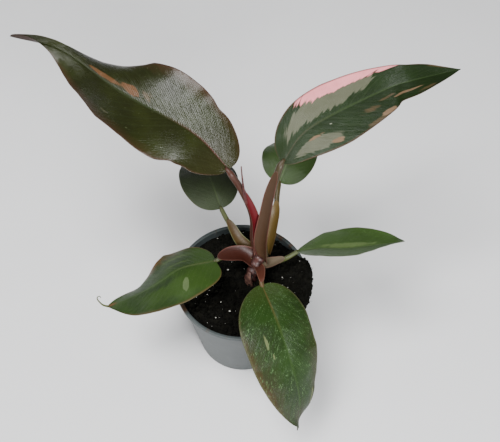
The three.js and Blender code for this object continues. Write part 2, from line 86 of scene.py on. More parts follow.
LEAVES = {
    "upper_left": {
        "rib": [(-7.3, 31.2, 75), (-30.2, 52.6, 86), (-74.5, 75.9, 97), (-113.6, 102, 109),
                (-145.6, 109, 115)],
        "half": (33.3, 29.8),
        "shape": (0.49, 0.54, 1.1, 1.86),
        "lobe": (6.3, 14.6),
        "face": [(0.05, -0.29, 0.85), (0.05, 0.23, 0.85)],
        "wave": [(8, 2.02, 0.24), (7.3, 1.63, 0.69)],
        "fold": 12,
        "camber": 0.003,
        "kinks": [(0.21, 1, -2.2, 0.035), (0.07, 1, 3.2, 0.05), (0.65, 1, 1.5, 0.12),
                  (0.20, -1, -1.6, 0.025)],
        "way": [(10.4, 15.6, 7), (8.1, 20.8, 17), (7.8, 25.7, 32), (4.7, 27.9, 46), (-0.8, 30, 61),
                (-5.2, 29.8, 72)],
        "radius": (2.6, 2.1),
        "stalk_face": [(0.6, -0.8, 0.2), (0.6, -0.8, 0.5)],
        "sheath": {"reach": 0.74, "width": 4.6, "wrap": 3.0, "free": 0.6},
    },
    "upper_right": {
        "rib": [(25.2, 38.7, 75), (42.2, 55.4, 88), (87.3, 76.4, 99), (106.5, 79.6, 105),
                (137.7, 91.6, 103)],
        "half": (20.7, 22.4),
        "shape": (0.36, 0.78, 1.35, 0.88),
        "lobe": (13.1, 10.8),
        "face": [(-0.05, -0.43, 0.85), (-0.05, -0.16, 0.85)],
        "wave": [(1, 3.1, -0.4), (1.8, 0.77, -0.38)],
        "fold": 12,
        "camber": 0.003,
        "way": [(14.9, 12.6, 5), (13.9, 18.6, 19), (16.4, 25.5, 39), (18.9, 30.3, 55), (23.1, 35.9, 71)],
        "radius": (3.0, 2.2),
        "stalk_face": [(-0.55, -0.8, 0.2), (-0.5, -0.75, 0.4)],
        "sheath": {"reach": 0.9, "width": 5.9, "wrap": 2.0, "free": 1.2},
    },
    "left": {
        "rib": [(-17.4, 7.6, 11), (-39.5, 0.6, 13), (-53.9, -6.2, 7), (-69.6, -10.2, -3), (-91.4, -12.9, -15)],
        "half": (25.5, 26.1),
        "shape": (0.43, 0.49, 1.37, 0.92),
        "lobe": (16.3, 8),
        "face": [(-0.1, 0.24, 0.95), (-0.1, 0.3, 0.95)],
        "wave": [(1.4, 2.1, 0.09), (2.7, 2.22, 0.04)],
        "fold": -8,
        "camber": 0.003,
        "kinks": [(0.42, -1, 1.6, 0.05), (0.56, -1, -1.2, 0.05), (0.45, 1, -1.2, 0.05)],
        "way": [(9, 13.5, 3), (1, 14.4, 8), (-7, 12.2, 11), (-14, 9.3, 11.6)],
        "radius": (1.9, 1.5),
        "stalk_face": [(0, -0.4, 0.9), (0, -0.2, 0.95)],
        "sheath": {"reach": 0.9, "width": 7.4, "wrap": 2.2, "free": 3},
    },
    "front": {
        "rib": [(13.1, -8.4, 7), (22.3, -35.6, 9), (30.5, -56.7, -3), (37, -74.7, -25), (36.5, -86.9, -47)],
        "half": (23, 25.5),
        "shape": (0.34, 0.65, 3.27, 1.28),
        "lobe": (12.6, 2.1),
        "face": [(0.1, -0.05, 0.95), (0.1, 0.52, 0.95)],
        "wave": [(1.7, 1.63, 0.23), (0, 1, 0)],
        "fold": 2,
        "camber": 0.012,
        "way": [(10, 9, 1), (12.1, 2.2, 6), (12.8, -5, 7.8)],
        "radius": (1.9, 1.6),
        "stalk_face": [(0, 0.3, 0.9), (0, 0.1, 0.95)],
        "sheath": {"reach": 0.86, "width": 4.4, "wrap": 2.4, "free": 1.6},
    },
    "right": {
        "rib": [(37.4, 13.7, 13), (52.4, 12, 19), (70.7, 10.3, 22), (99.8, 14.4, 22), (108.3, 18.4, 18)],
        "half": (20.6, 20.5),
        "shape": (0.4, 0.89, 1.98, 1.15),
        "lobe": (-0.8, 4.7),
        "face": [(0, 0.41, 0.95), (0, 0.67, 0.95)],
        "wave": [(2.9, 0.73, 0.62), (1.2, 0.97, 0.47)],
        "fold": 18,
        "camber": 0.003,
        "way": [(13.6, 10.4, 1), (20.3, 9.7, 5), (28.8, 10.1, 9.5), (35, 12.6, 12)],
        "radius": (1.9, 1.4),
        "stalk_face": [(0, -0.3, 0.9), (0, 0, 0.95)],
        "sheath": {"reach": 0.62, "width": 4.6, "wrap": 2.4, "free": 0.8},
    },
    "back_left": {
        "rib": [(-14.2, 40.7, 25), (-19, 53, 31), (-24, 68, 31), (-29, 84, 23), (-34, 98, 11)],
        "half": (21, 19),
        "shape": (0.36, 0.6, 1.9, 1.0),
        "lobe": (5, 5),
        "face": [(0.05, -0.35, 0.9), (0.05, 0.5, 0.9)],
        "wave": [(1.2, 1.1, 0.1), (1, 1.2, 0.3)],
        "fold": 3,
        "camber": 0.008,
        "way": [(8.6, 17, 4), (-1.6, 23.6, 11), (-6.8, 29.7, 17), (-11.6, 36.5, 22)],
        "radius": (2, 1.6),
        "stalk_face": [(0.4, -0.6, 0.7), (0.2, -0.5, 0.8)],
        "sheath": {"reach": 0.76, "width": 5.2, "wrap": 2, "free": 1.4},
    },
    "back_right": {
        "rib": [(25, 52, 39), (30, 63, 45), (35, 77, 44), (39, 92, 35), (42, 104, 23)],
        "half": (19, 18),
        "shape": (0.36, 0.55, 1.8, 1.0),
        "lobe": (5, 5),
        "face": [(-0.05, -0.45, 0.9), (-0.05, 0.5, 0.9)],
        "wave": [(1, 1.1, 0.2), (1, 1.3, 0.5)],
        "fold": 3,
        "camber": 0.008,
        "way": [(16, 18.4, 6), (19.6, 26.3, 19), (22.6, 34.5, 31), (23.6, 44, 37)],
        "radius": (2.2, 1.7),
        "stalk_face": [(-0.2, -0.8, 0.4), (-0.1, -0.7, 0.6)],
        "sheath": {"reach": 0.72, "width": 5.4, "wrap": 2.6, "free": 1},
    },
}

BASE_SHARE = 0.06
TIP_HALF = 0.45 * MM

# ---- Leaf colours, markings and painted shade ----
# A patch is (along, across, half length, half width, raggedness, softness of its edge, colour):
# places and sizes are shares of the blade's length and half width, and across is positive to
# the left of the midrib.

PINK = (0.72, 0.25, 0.27)
SALMON = (0.10, 0.045, 0.016)
PALE_SALMON = (0.16, 0.10, 0.055)
TAN = (0.058, 0.042, 0.018)
GREY_GREEN = (0.090, 0.094, 0.060)
CREAM = (0.10, 0.12, 0.048)
PALE_OLIVE = (0.050, 0.050, 0.024)
OLIVE = (0.024, 0.026, 0.008)
BRONZE = (0.034, 0.020, 0.008)

LOOKS = {
    "upper_left": {
        "dark": (0.0110, 0.0125, 0.0022),
        "light": (0.0190, 0.0240, 0.0038),
        "base": (0.028, 0.026, 0.008),
        "vein": (0.020, 0.026, 0.008),
        "rib": (0.024, 0.032, 0.012),
        "rib_base": (0.060, 0.020, 0.014),
        "margin": (0.045, 0.022, 0.012),
        "under": (0.026, 0.014, 0.009),
        "speckle": 0.75,
        "roughness": 0.20,
        "gloss": 0.30,
        "patches": [
            (0.30, -0.98, 0.45, 0.28, 0.3, 1.0, BRONZE),
            (0.60, 0.98, 0.55, 0.24, 0.3, 1.0, BRONZE),
            (0.60, -0.15, 0.085, 0.075, 0.5, 0.1, SALMON),
            (0.50, -0.17, 0.05, 0.10, 0.6, 0.1, SALMON),
            (0.42, -0.22, 0.03, 0.12, 0.9, 0.5, TAN),
            (0.49, 0.72, 0.016, 0.022, 0.3, 0.1, PALE_OLIVE),
            (0.71, -0.35, 0.010, 0.03, 0.3, 0.1, PALE_OLIVE),
        ],
    },
    "upper_right": {
        "dark": (0.0070, 0.0150, 0.0035),
        "light": (0.0100, 0.0230, 0.0045),
        "gloss": 0.18,
        "base": (0.016, 0.026, 0.009),
        "vein": (0.022, 0.036, 0.011),
        "rib": (0.026, 0.044, 0.014),
        "rib_base": (0.034, 0.032, 0.014),
        "margin": (0.060, 0.030, 0.015),
        "under": (0.060, 0.032, 0.022),
        "speckle": 0.35,
        "roughness": 0.30,
        "patches": [
            (0.34, 0.50, 0.23, 0.32, 0.50, 0.05, GREY_GREEN),
            (0.45, 0.98, 0.23, 0.33, 0.35, 0.02, PINK),
            (0.19, -0.60, 0.13, 0.24, 0.35, 0.05, GREY_GREEN),
            (0.30, -0.78, 0.035, 0.08, 0.6, 0.3, PALE_SALMON),
            (0.20, -0.38, 0.05, 0.05, 0.8, 0.4, PALE_SALMON),
            (0.60, -0.34, 0.045, 0.06, 0.7, 0.3, TAN),
            (0.70, -0.52, 0.07, 0.07, 0.6, 0.3, PALE_SALMON),
            (0.79, -0.80, 0.05, 0.10, 0.7, 0.3, TAN),
            (0.50, -0.45, 0.05, 0.10, 1.0, 0.7, TAN),
            (0.50, -0.92, 0.06, 0.08, 0.6, 0.3, TAN),
            (0.58, -0.88, 0.045, 0.10, 0.5, 0.1, PALE_SALMON),
            (0.92, 0.95, 0.10, 0.16, 0.3, 0.4, TAN),
            (0.30, -0.23, 0.006, 0.02, 0.3, 0.2, (0.20, 0.21, 0.16)),
        ],
    },
    "left": {
        "dark": (0.013, 0.030, 0.005),
        "light": (0.026, 0.056, 0.008),
        "gloss": 0.18,
        "base": (0.030, 0.060, 0.012),
        "vein": (0.036, 0.066, 0.015),
        "rib": (0.042, 0.075, 0.020),
        "rib_base": (0.070, 0.085, 0.030),
        "margin": (0.080, 0.050, 0.018),
        "under": (0.050, 0.065, 0.025),
        "speckle": 0.75,
        "roughness": 0.36,
        "patches": [
            (0.55, -0.95, 0.42, 0.36, 0.5, 0.8, (0.062, 0.044, 0.012)),
            (0.33, -0.62, 0.20, 0.10, 0.8, 0.8, (0.048, 0.080, 0.016)),
            (0.30, -0.28, 0.18, 0.06, 0.8, 0.8, (0.044, 0.075, 0.017)),
            # This dark green band along the midrib's lower side is painted shade, not a marking of the leaf.
            (0.48, 0.16, 0.26, 0.14, 0.7, 0.8, (0.015, 0.030, 0.008)),
            (0.62, 0.98, 0.30, 0.12, 0.5, 0.9, (0.046, 0.050, 0.018)),
            (0.31, 0.55, 0.034, 0.18, 0.7, 0.1, (0.080, 0.115, 0.045)),
            (0.66, -0.97, 0.24, 0.12, 0.6, 0.4, (0.130, 0.062, 0.022)),
            (0.97, 0.0, 0.10, 1.2, 0.3, 0.7, (0.150, 0.062, 0.016)),
        ],
    },
    "front": {
        "dark": (0.009, 0.021, 0.003),
        "light": (0.014, 0.037, 0.005),
        "gloss": 0.2,
        "base": (0.034, 0.054, 0.010),
        "vein": (0.026, 0.050, 0.011),
        "rib": (0.024, 0.052, 0.010),
        "rib_base": (0.080, 0.060, 0.018),
        "margin": (0.060, 0.060, 0.024),
        "under": (0.045, 0.055, 0.020),
        "speckle": 1.5,
        "roughness": 0.30,
        "patches": [
            (0.66, 0.95, 0.40, 0.44, 0.4, 0.9, OLIVE),
            (0.66, -0.90, 0.44, 0.62, 0.5, 0.9, OLIVE),
            (0.55, -0.98, 0.40, 0.20, 0.5, 0.9, (0.044, 0.028, 0.009)),
            (0.90, 0.0, 0.16, 1.1, 0.5, 0.8, (0.022, 0.020, 0.006)),
            (0.37, -0.46, 0.050, 0.045, 0.5, 0.3, CREAM),
            (0.45, -0.40, 0.020, 0.025, 0.5, 0.4, CREAM),
            (0.80, 0.84, 0.06, 0.05, 0.5, 0.3, (0.10, 0.11, 0.04)),
            (0.98, 0.0, 0.035, 1.2, 0.3, 0.6, (0.075, 0.045, 0.02)),
        ],
    },
    "right": {
        "dark": (0.026, 0.054, 0.010),
        "light": (0.036, 0.076, 0.014),
        "base": (0.040, 0.076, 0.015),
        "vein": (0.044, 0.084, 0.018),
        "rib": (0.070, 0.110, 0.034),
        "rib_base": (0.060, 0.085, 0.028),
        "margin": (0.060, 0.070, 0.024),
        "under": (0.055, 0.080, 0.026),
        "speckle": 1.3,
        "roughness": 0.36,
        "patches": [
            (0.46, 0.13, 0.30, 0.12, 0.45, 0.3, (0.095, 0.145, 0.045)),
            (0.97, 0.0, 0.04, 1.2, 0.3, 0.5, (0.085, 0.085, 0.038)),
        ],
    },
    "back_left": {
        "dark": (0.022, 0.029, 0.013),
        "light": (0.030, 0.042, 0.018),
        "base": (0.034, 0.048, 0.018),
        "vein": (0.034, 0.044, 0.020),
        "rib": (0.036, 0.050, 0.022),
        "rib_base": (0.055, 0.075, 0.03),
        "margin": (0.045, 0.050, 0.022),
        "under": (0.050, 0.060, 0.030),
        "speckle": 0.2,
        "roughness": 0.42,
        "patches": [],
    },
    "back_right": {
        "dark": (0.018, 0.034, 0.007),
        "light": (0.026, 0.050, 0.011),
        "base": (0.030, 0.054, 0.012),
        "vein": (0.032, 0.056, 0.014),
        "rib": (0.040, 0.064, 0.020),
        "rib_base": (0.055, 0.075, 0.03),
        "margin": (0.045, 0.055, 0.022),
        "under": (0.045, 0.060, 0.025),
        "speckle": 0.3,
        "roughness": 0.36,
        "patches": [],
    },
}

# Skin colours of each stalk: the rod, the sheath's inner and outer face, and its thin margin.
STALK_LOOKS = {
    "upper_left": [(0.050, 0.022, 0.014), (0.095, 0.006, 0.009),
                   (0.070, 0.012, 0.012), (0.090, 0.050, 0.034)],
    "upper_right": [(0.040, 0.030, 0.014), (0.044, 0.022, 0.011),
                    (0.040, 0.024, 0.011), (0.120, 0.038, 0.030)],
    "left": [(0.036, 0.044, 0.014), (0.028, 0.007, 0.004),
             (0.034, 0.009, 0.006), (0.100, 0.036, 0.026)],
    "front": [(0.075, 0.050, 0.020), (0.065, 0.018, 0.010),
              (0.065, 0.026, 0.016), (0.160, 0.075, 0.050)],
    "right": [(0.045, 0.056, 0.014), (0.085, 0.064, 0.042),
              (0.050, 0.038, 0.015), (0.120, 0.066, 0.048)],
    "back_left": [(0.060, 0.070, 0.026), (0.046, 0.026, 0.008),
                  (0.045, 0.030, 0.009), (0.100, 0.110, 0.050)],
    "back_right": [(0.040, 0.032, 0.012), (0.090, 0.056, 0.014),
                   (0.090, 0.056, 0.014), (0.100, 0.060, 0.022)],
}


# ---- Settings that a user would change ----


class PhilodendronPot(bpy.types.PropertyGroup):
    colour: bpy.props.FloatVectorProperty(
        name="Plastic", description="Colour of the pot's plastic", subtype="COLOR", size=3,
        default=(0.034, 0.043, 0.043), min=0, max=1)
    wall: bpy.props.FloatProperty(
        name="Wall", description="Thickness of the pot's wall", default=0.9 * MM, unit="LENGTH",
        subtype="DISTANCE", min=0.3 * MM, max=2 * MM)


class PhilodendronSoil(bpy.types.PropertyGroup):
    colour: bpy.props.FloatVectorProperty(
        name="Peat", description="Colour of the moist peat", subtype="COLOR", size=3,
        default=(0.0035, 0.0034, 0.0024), min=0, max=1)
    crumbs: bpy.props.IntProperty(
        name="Crumbs", description="Number of loose crumbs on the soil", default=2600, min=0, max=8000)
    strands: bpy.props.IntProperty(
        name="Strands", description="Number of peat fibres on the soil", default=260, min=0, max=2000)
    grains: bpy.props.IntProperty(
        name="Small grains", description="Number of small perlite grains", default=110, min=0, max=800)


class PhilodendronLeaves(bpy.types.PropertyGroup):
    thickness: bpy.props.FloatProperty(
        name="Blade thickness", description="Thickness of a blade beside its midrib", default=0.55 * MM,
        unit="LENGTH", subtype="DISTANCE", min=0.2 * MM, max=2 * MM)
    vein_depth: bpy.props.FloatProperty(
        name="Vein depth", description="How deep the side veins lie in the upper face", default=0.09 * MM,
        unit="LENGTH", subtype="DISTANCE", min=0, max=1 * MM)


class PhilodendronStage(bpy.types.PropertyGroup):
    floor: bpy.props.FloatVectorProperty(
        name="Floor", description="Colour of the floor and backdrop", subtype="COLOR", size=3,
        default=(0.78, 0.78, 0.785), min=0, max=1)
    key_power: bpy.props.FloatProperty(
        name="Key light", description="Power of the large light above", default=22.0, unit="POWER", min=0)
    fill_power: bpy.props.FloatProperty(
        name="Fill light", description="Power of the light in front", default=27.0, unit="POWER", min=0)
    room_light: bpy.props.FloatProperty(
        name="Room light", description="Strength of the even light all round", default=0.22, min=0)


# ---- Curves, rings and closed meshes ----


def mix(first, second, share):
    return first + (second - first) * share


def smooth(low, high, value):
    share = np.clip((value - low) / (high - low), 0, 1)
    return share * share * (3 - 2 * share)


def from_rim(points):
    """Points in metres from points in millimetres whose heights are counted from the rim."""
    return np.array(points, float) * MM + (0, 0, RIM_HEIGHT)


def curve_points(points, shares):
    """Points at shares of the length of a smooth curve through the given points."""
    points = np.asarray(points, float)
    padded = np.vstack([2 * points[0] - points[1], points, 2 * points[-1] - points[-2]])
    spans = len(points) - 1
    fine = np.linspace(0, spans, 60 * spans + 1)
    start = np.minimum(fine.astype(int), spans - 1)
    u = (fine - start)[:, None]
    p0, p1, p2, p3 = (padded[start + k] for k in range(4))
    dense = 0.5 * (2 * p1 + (p2 - p0) * u + (2 * p0 - 5 * p1 + 4 * p2 - p3) * u**2
                   + (3 * p1 - p0 - 3 * p2 + p3) * u**3)
    lengths = np.concatenate([[0], np.cumsum(np.linalg.norm(np.diff(dense, axis=0), axis=1))])
    wanted = np.asarray(shares) * lengths[-1]
    return np.column_stack([np.interp(wanted, lengths, dense[:, axis]) for axis in range(3)])


def unit(vectors):
    return vectors / np.linalg.norm(vectors, axis=-1, keepdims=True)


def frames(points, faces, shares):
    """Directions along a curve, to its left and out of its upper face."""
    along = unit(np.gradient(points, axis=0))
    face = mix(np.array(faces[0], float), np.array(faces[1], float), np.asarray(shares)[:, None])
    left = unit(np.cross(face, along))
    return along, left, np.cross(along, left)


def as_faces(table):
    return [tuple(face) for face in table.tolist()]


def ring_walls(rings, sides):
    """Quads between neighbouring rings of points, ring by ring."""
    row = np.arange(rings - 1)[:, None] * sides
    here = np.arange(sides)[None, :]
    following = (here + 1) % sides
    walls = np.stack([row + here, row + following, row + sides + following, row + sides + here], -1)
    return walls.reshape(-1, 4)


def ring_faces(rings, sides):
    """The walls between the rings, and a strip of quads across each end ring. sides is even."""
    across = np.arange(sides // 2 - 1)
    cap = np.stack([across, sides - 1 - across, sides - 2 - across, across + 1], -1)
    far_cap = cap[:, ::-1] + (rings - 1) * sides
    return as_faces(np.vstack([ring_walls(rings, sides), cap, far_cap]))


def make_mesh(name, points, faces, places=None):
    """A smooth mesh. places gives each point's value of the attribute that the materials read."""
    mesh = bpy.data.meshes.new(name)
    mesh.from_pydata(np.asarray(points).tolist(), [], faces)
    mesh.validate()
    if places is not None:
        layer = mesh.attributes.new("place", "FLOAT_VECTOR", "POINT")
        layer.data.foreach_set("vector", np.asarray(places, np.float32).ravel())
    mesh.shade_smooth()
    return mesh


def add_piece(name, mesh, material, nodes=()):
    """Puts a finished mesh into the scene as a piece of the plant."""
    piece = bpy.data.objects.new(name, mesh)
    bpy.context.scene.collection.objects.link(piece)
    mesh.materials.append(material)
    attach(piece, "root")
    if nodes:
        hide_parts(*nodes)
    return piece


def join_shells(shells):
    """One list of points, faces and places from several (points, faces, places)."""
    points, faces, places = [], [], []
    offset = 0
    for shell_points, shell_faces, shell_places in shells:
        points.append(shell_points)
        places.append(shell_places)
        faces.extend(tuple(index + offset for index in face) for face in shell_faces)
        offset += len(shell_points)
    return np.vstack(points), faces, np.vstack(places)


def ripples(points, longest, shortest, count, seed):
    """Smooth random heights about 0, from waves between two lengths in all directions."""
    random = np.random.default_rng(seed)
    total = np.zeros(len(points))
    for length in np.geomspace(longest, shortest, count):
        direction = unit(random.normal(size=3))
        phase = random.uniform(0, 2 * math.pi)
        total += np.sin(points @ direction * (2 * math.pi / length) + phase)
    return total / math.sqrt(count)


# ---- Materials ----


def rgba(colour):
    return (*colour, 1.0)


def toned(colour, factor):
    """The colour made lighter or darker."""
    return tuple(factor * channel for channel in colour)


class NodeSheet:
    """Adds nodes to one tree and links them."""

    COLUMN = 180

    def __init__(self, tree):
        self.tree = tree

    def add(self, kind, inputs=None, **settings):
        node = self.tree.nodes.new(kind)
        node.location = (self.COLUMN * len(self.tree.nodes), 0)
        for name, value in settings.items():
            setattr(node, name, value)
        for key, value in (inputs or {}).items():
            if isinstance(value, bpy.types.NodeSocket):
                self.tree.links.new(value, node.inputs[key])
            else:
                node.inputs[key].default_value = value
        return node

    def math(self, operation, *values, clamp=False):
        return self.add("ShaderNodeMath", dict(enumerate(values)), operation=operation,
                        use_clamp=clamp).outputs[0]

    def mix(self, share, first, second):
        first, second = (rgba(c) if isinstance(c, tuple) and len(c) == 3 else c for c in (first, second))
        node = self.add("ShaderNodeMix", {0: share, 6: first, 7: second}, data_type="RGBA")
        return node.outputs[2]

    def step(self, value, low, high):
        inputs = {"Value": value, "From Min": low, "From Max": high}
        return self.add("ShaderNodeMapRange", inputs, interpolation_type="SMOOTHSTEP").outputs[0]

    def between(self, value, low, high):
        inputs = {"Value": value, "To Min": low, "To Max": high}
        return self.add("ShaderNodeMapRange", inputs).outputs[0]

    def vector(self, x, y, z=0.0):
        return self.add("ShaderNodeCombineXYZ", {0: x, 1: y, 2: z}).outputs[0]

    def noise(self, scale, detail=3.0, roughness=0.5, vector=None, distortion=0.0):
        vector = vector or self.position()
        inputs = {"Vector": vector, "Scale": scale, "Detail": detail, "Roughness": roughness,
                  "Distortion": distortion}
        return self.add("ShaderNodeTexNoise", inputs).outputs[0]

    def cells(self, scale):
        inputs = {"Vector": self.position(), "Scale": scale}
        return self.add("ShaderNodeTexVoronoi", inputs).outputs["Distance"]

    def position(self):
        return self.add("ShaderNodeTexCoord").outputs["Object"]

    def split_place(self):
        """The three parts of the place attribute that every grown piece carries."""
        place = self.add("ShaderNodeAttribute", attribute_name="place", attribute_type="GEOMETRY")
        parts = self.add("ShaderNodeSeparateXYZ", {0: place.outputs["Vector"]})
        return parts.outputs[0], parts.outputs[1], parts.outputs[2]

    def bump(self, height, strength, distance=0.5 * MM):
        inputs = {"Height": height, "Strength": strength, "Distance": distance}
        return self.add("ShaderNodeBump", inputs).outputs[0]

    def group(self, name, inputs):
        """The outputs of a shared effect, which is built the first time that it is asked for."""
        tree = bpy.data.node_groups.get(name) or GROUP_MAKERS[name](name)
        return self.add("ShaderNodeGroup", inputs, node_tree=tree).outputs


def new_group(name, inputs, outputs):
    """An empty node group with float sockets, its sheet, its input sockets and its output node."""
    tree = bpy.data.node_groups.new(name, "ShaderNodeTree")
    for socket, default in inputs.items():
        made = tree.interface.new_socket(socket, in_out="INPUT", socket_type="NodeSocketFloat")
        made.default_value = default
    for socket in outputs:
        tree.interface.new_socket(socket, in_out="OUTPUT", socket_type="NodeSocketFloat")
    sheet = NodeSheet(tree)
    given = sheet.add("NodeGroupInput").outputs
    result = sheet.add("NodeGroupOutput")
    return sheet, given, result


LEAF_SOCKETS = {"Along": 0.0, "Across": 0.0, "Count": 16.0, "Slant": 5.0}


def vein_phase(sheet, given):
    """A value that is whole on each side vein: the veins lean from the midrib to the tip."""
    outward = sheet.math("MULTIPLY", sheet.math("ABSOLUTE", given["Across"]), given["Slant"])
    return sheet.math("SUBTRACT", sheet.math("MULTIPLY", given["Along"], given["Count"]), outward)


def make_vein_group(name):
    """Masks of a blade's side veins, midrib and margin, from its place along and across."""
    inputs = {**LEAF_SOCKETS, "Line Width": 0.2}
    sheet, given, result = new_group(name, inputs, ("Side Veins", "Midrib", "Margin", "Streaks"))
    turns = vein_phase(sheet, given)
    phase = sheet.math("FRACT", turns)
    distance = sheet.math("MULTIPLY", sheet.math("ABSOLUTE", sheet.math("SUBTRACT", phase, 0.5)), 2.0)
    line = sheet.step(distance, sheet.math("SUBTRACT", 1.0, given["Line Width"]), 1.0)
    outward = sheet.math("ABSOLUTE", given["Across"])
    fade = sheet.math("SUBTRACT", 1.0, sheet.step(outward, 0.7, 1.0))
    links = sheet.tree.links
    streaks = sheet.noise(1.0, 5.0, 0.65, sheet.vector(
        sheet.math("MULTIPLY", turns, 3.5), sheet.math("MULTIPLY", given["Across"], 4.0)))
    links.new(streaks, result.inputs["Streaks"])
    links.new(sheet.math("MULTIPLY", line, fade), result.inputs["Side Veins"])
    links.new(sheet.math("SUBTRACT", 1.0, sheet.step(outward, 0.01, 0.055)), result.inputs["Midrib"])
    links.new(sheet.step(outward, 0.93, 0.99), result.inputs["Margin"])
    return sheet.tree


def make_patch_group(name):
    """The mask of one patch on a blade, a marking or a band of painted shade: an oval that leans with the
    veins, with a torn edge.
    """
    inputs = {**LEAF_SOCKETS, "Centre Along": 0.5, "Centre Across": 0.0, "Half Length": 0.1,
              "Half Width": 0.2, "Ragged": 0.5, "Soft": 0.1, "Seed": 0.0}
    sheet, given, result = new_group(name, inputs, ("Mask",))
    phase = vein_phase(sheet, given)
    outward = sheet.math("ABSOLUTE", given["Across"])
    streaks = sheet.noise(1.0, 4.0, 0.6, sheet.vector(
        sheet.math("MULTIPLY", phase, 1.7), sheet.math("MULTIPLY", outward, 2.2), given["Seed"]))
    lean = sheet.math("SUBTRACT", outward, sheet.math("ABSOLUTE", given["Centre Across"]))
    lean = sheet.math("MULTIPLY", lean, sheet.math("DIVIDE", given["Slant"], given["Count"]))
    length = sheet.math("SUBTRACT", sheet.math("SUBTRACT", given["Along"], given["Centre Along"]),
                        sheet.math("MULTIPLY", lean, 0.5))
    length = sheet.math("DIVIDE", length, given["Half Length"])
    width = sheet.math("DIVIDE", sheet.math("SUBTRACT", given["Across"], given["Centre Across"]),
                       given["Half Width"])
    distance = sheet.math("SQRT", sheet.math("ADD", sheet.math("POWER", length, 2.0),
                                             sheet.math("POWER", width, 2.0)))
    torn = sheet.math("MULTIPLY", sheet.math("SUBTRACT", streaks, 0.5), given["Ragged"])
    distance = sheet.math("ADD", distance, sheet.math("MULTIPLY", torn, 3.0))
    inside = sheet.math("SUBTRACT", 0.92, given["Soft"])
    mask = sheet.math("SUBTRACT", 1.0, sheet.step(distance, inside, 1.04))
    sheet.tree.links.new(mask, result.inputs["Mask"])
    return sheet.tree


def make_speckle_group(name):
    """Short pale dashes that lie along the veins."""
    inputs = {**LEAF_SOCKETS, "Amount": 0.3, "Seed": 0.0}
    sheet, given, result = new_group(name, inputs, ("Mask",))
    phase = vein_phase(sheet, given)
    place = sheet.vector(sheet.math("MULTIPLY", phase, 4.5),
                         sheet.math("MULTIPLY", given["Across"], 13.0), given["Seed"])
    dashes = sheet.noise(2.0, 2.0, 0.6, place)
    region = sheet.noise(0.25, 2.0, 0.5, place)
    limit = sheet.math("SUBTRACT", 0.80, sheet.math("MULTIPLY", given["Amount"], 0.12))
    limit = sheet.math("ADD", limit, sheet.math("MULTIPLY", sheet.math("SUBTRACT", 0.5, region), 0.25))
    mask = sheet.step(dashes, limit, sheet.math("ADD", limit, 0.05))
    sheet.tree.links.new(mask, result.inputs["Mask"])
    return sheet.tree


def make_skin_group(name):
    """Fine plant skin: a height of small cells over soft unevenness, and a tone from 0 to 1."""
    inputs = {"Cell Scale": 1400.0, "Uneven Scale": 120.0}
    sheet, given, result = new_group(name, inputs, ("Height", "Tone"))
    cells = sheet.cells(given["Cell Scale"])
    uneven = sheet.noise(given["Uneven Scale"], 4.0, 0.55)
    height = sheet.math("ADD", sheet.math("MULTIPLY", cells, 0.35), uneven)
    sheet.tree.links.new(height, result.inputs["Height"])
    sheet.tree.links.new(uneven, result.inputs["Tone"])
    return sheet.tree


GROUP_MAKERS = {
    "Leaf Veins": make_vein_group,
    "Leaf Marking And Painted Shade": make_patch_group,
    "Leaf Speckles": make_speckle_group,
    "Plant Skin": make_skin_group,
}


def new_material(name, **sockets):
    """A material with a bare Principled shader, its sheet and the shader node."""
    material = bpy.data.materials.new(name)
    material.use_nodes = True
    sheet = NodeSheet(material.node_tree)
    shader = material.node_tree.nodes["Principled BSDF"]
    for key, value in sockets.items():
        shader.inputs[key.replace("_", " ")].default_value = value
    return material, sheet, shader


def finish_material(sheet, shader, **links):
    for key, socket in links.items():
        sheet.tree.links.new(socket, shader.inputs[key.replace("_", " ")])


VEIN_COUNT = 17.0
VEIN_SLANT = 4.5
VEIN_LINE = 0.35
HAIRS_PER_VEIN = 5
HAIR_LINE = 0.5
LEAF_GLOSS = 0.26
PALE_BASE_END = 0.22
PATCH_SOCKETS = ("Centre Along", "Centre Across", "Half Length", "Half Width", "Ragged", "Soft")

# How far each layer of a blade covers the colour under it, and how high it stands in the bump.
VEIN_TINT = 0.3
HAIR_TINT = 0.25
BASE_TINT = 0.6
SPECKLE_TINT = 0.95
RIB_TINT = 0.8
SKIN_RELIEF = 0.4
HAIR_RELIEF = -0.2
STREAK_RELIEF = 0.9


def add_marking_and_painted_shade(sheet, leaf_place, patch_entry, seed, tone, colour):
    """The colour with one patch laid over it: a marking, or a band of painted shade."""
    *shape, tint = patch_entry
    patch = sheet.group("Leaf Marking And Painted Shade", {**leaf_place, **dict(zip(PATCH_SOCKETS, shape)), "Seed": seed})
    shade = sheet.mix(tone, toned(tint, 0.82), toned(tint, 1.12))
    return sheet.mix(patch["Mask"], colour, shade)


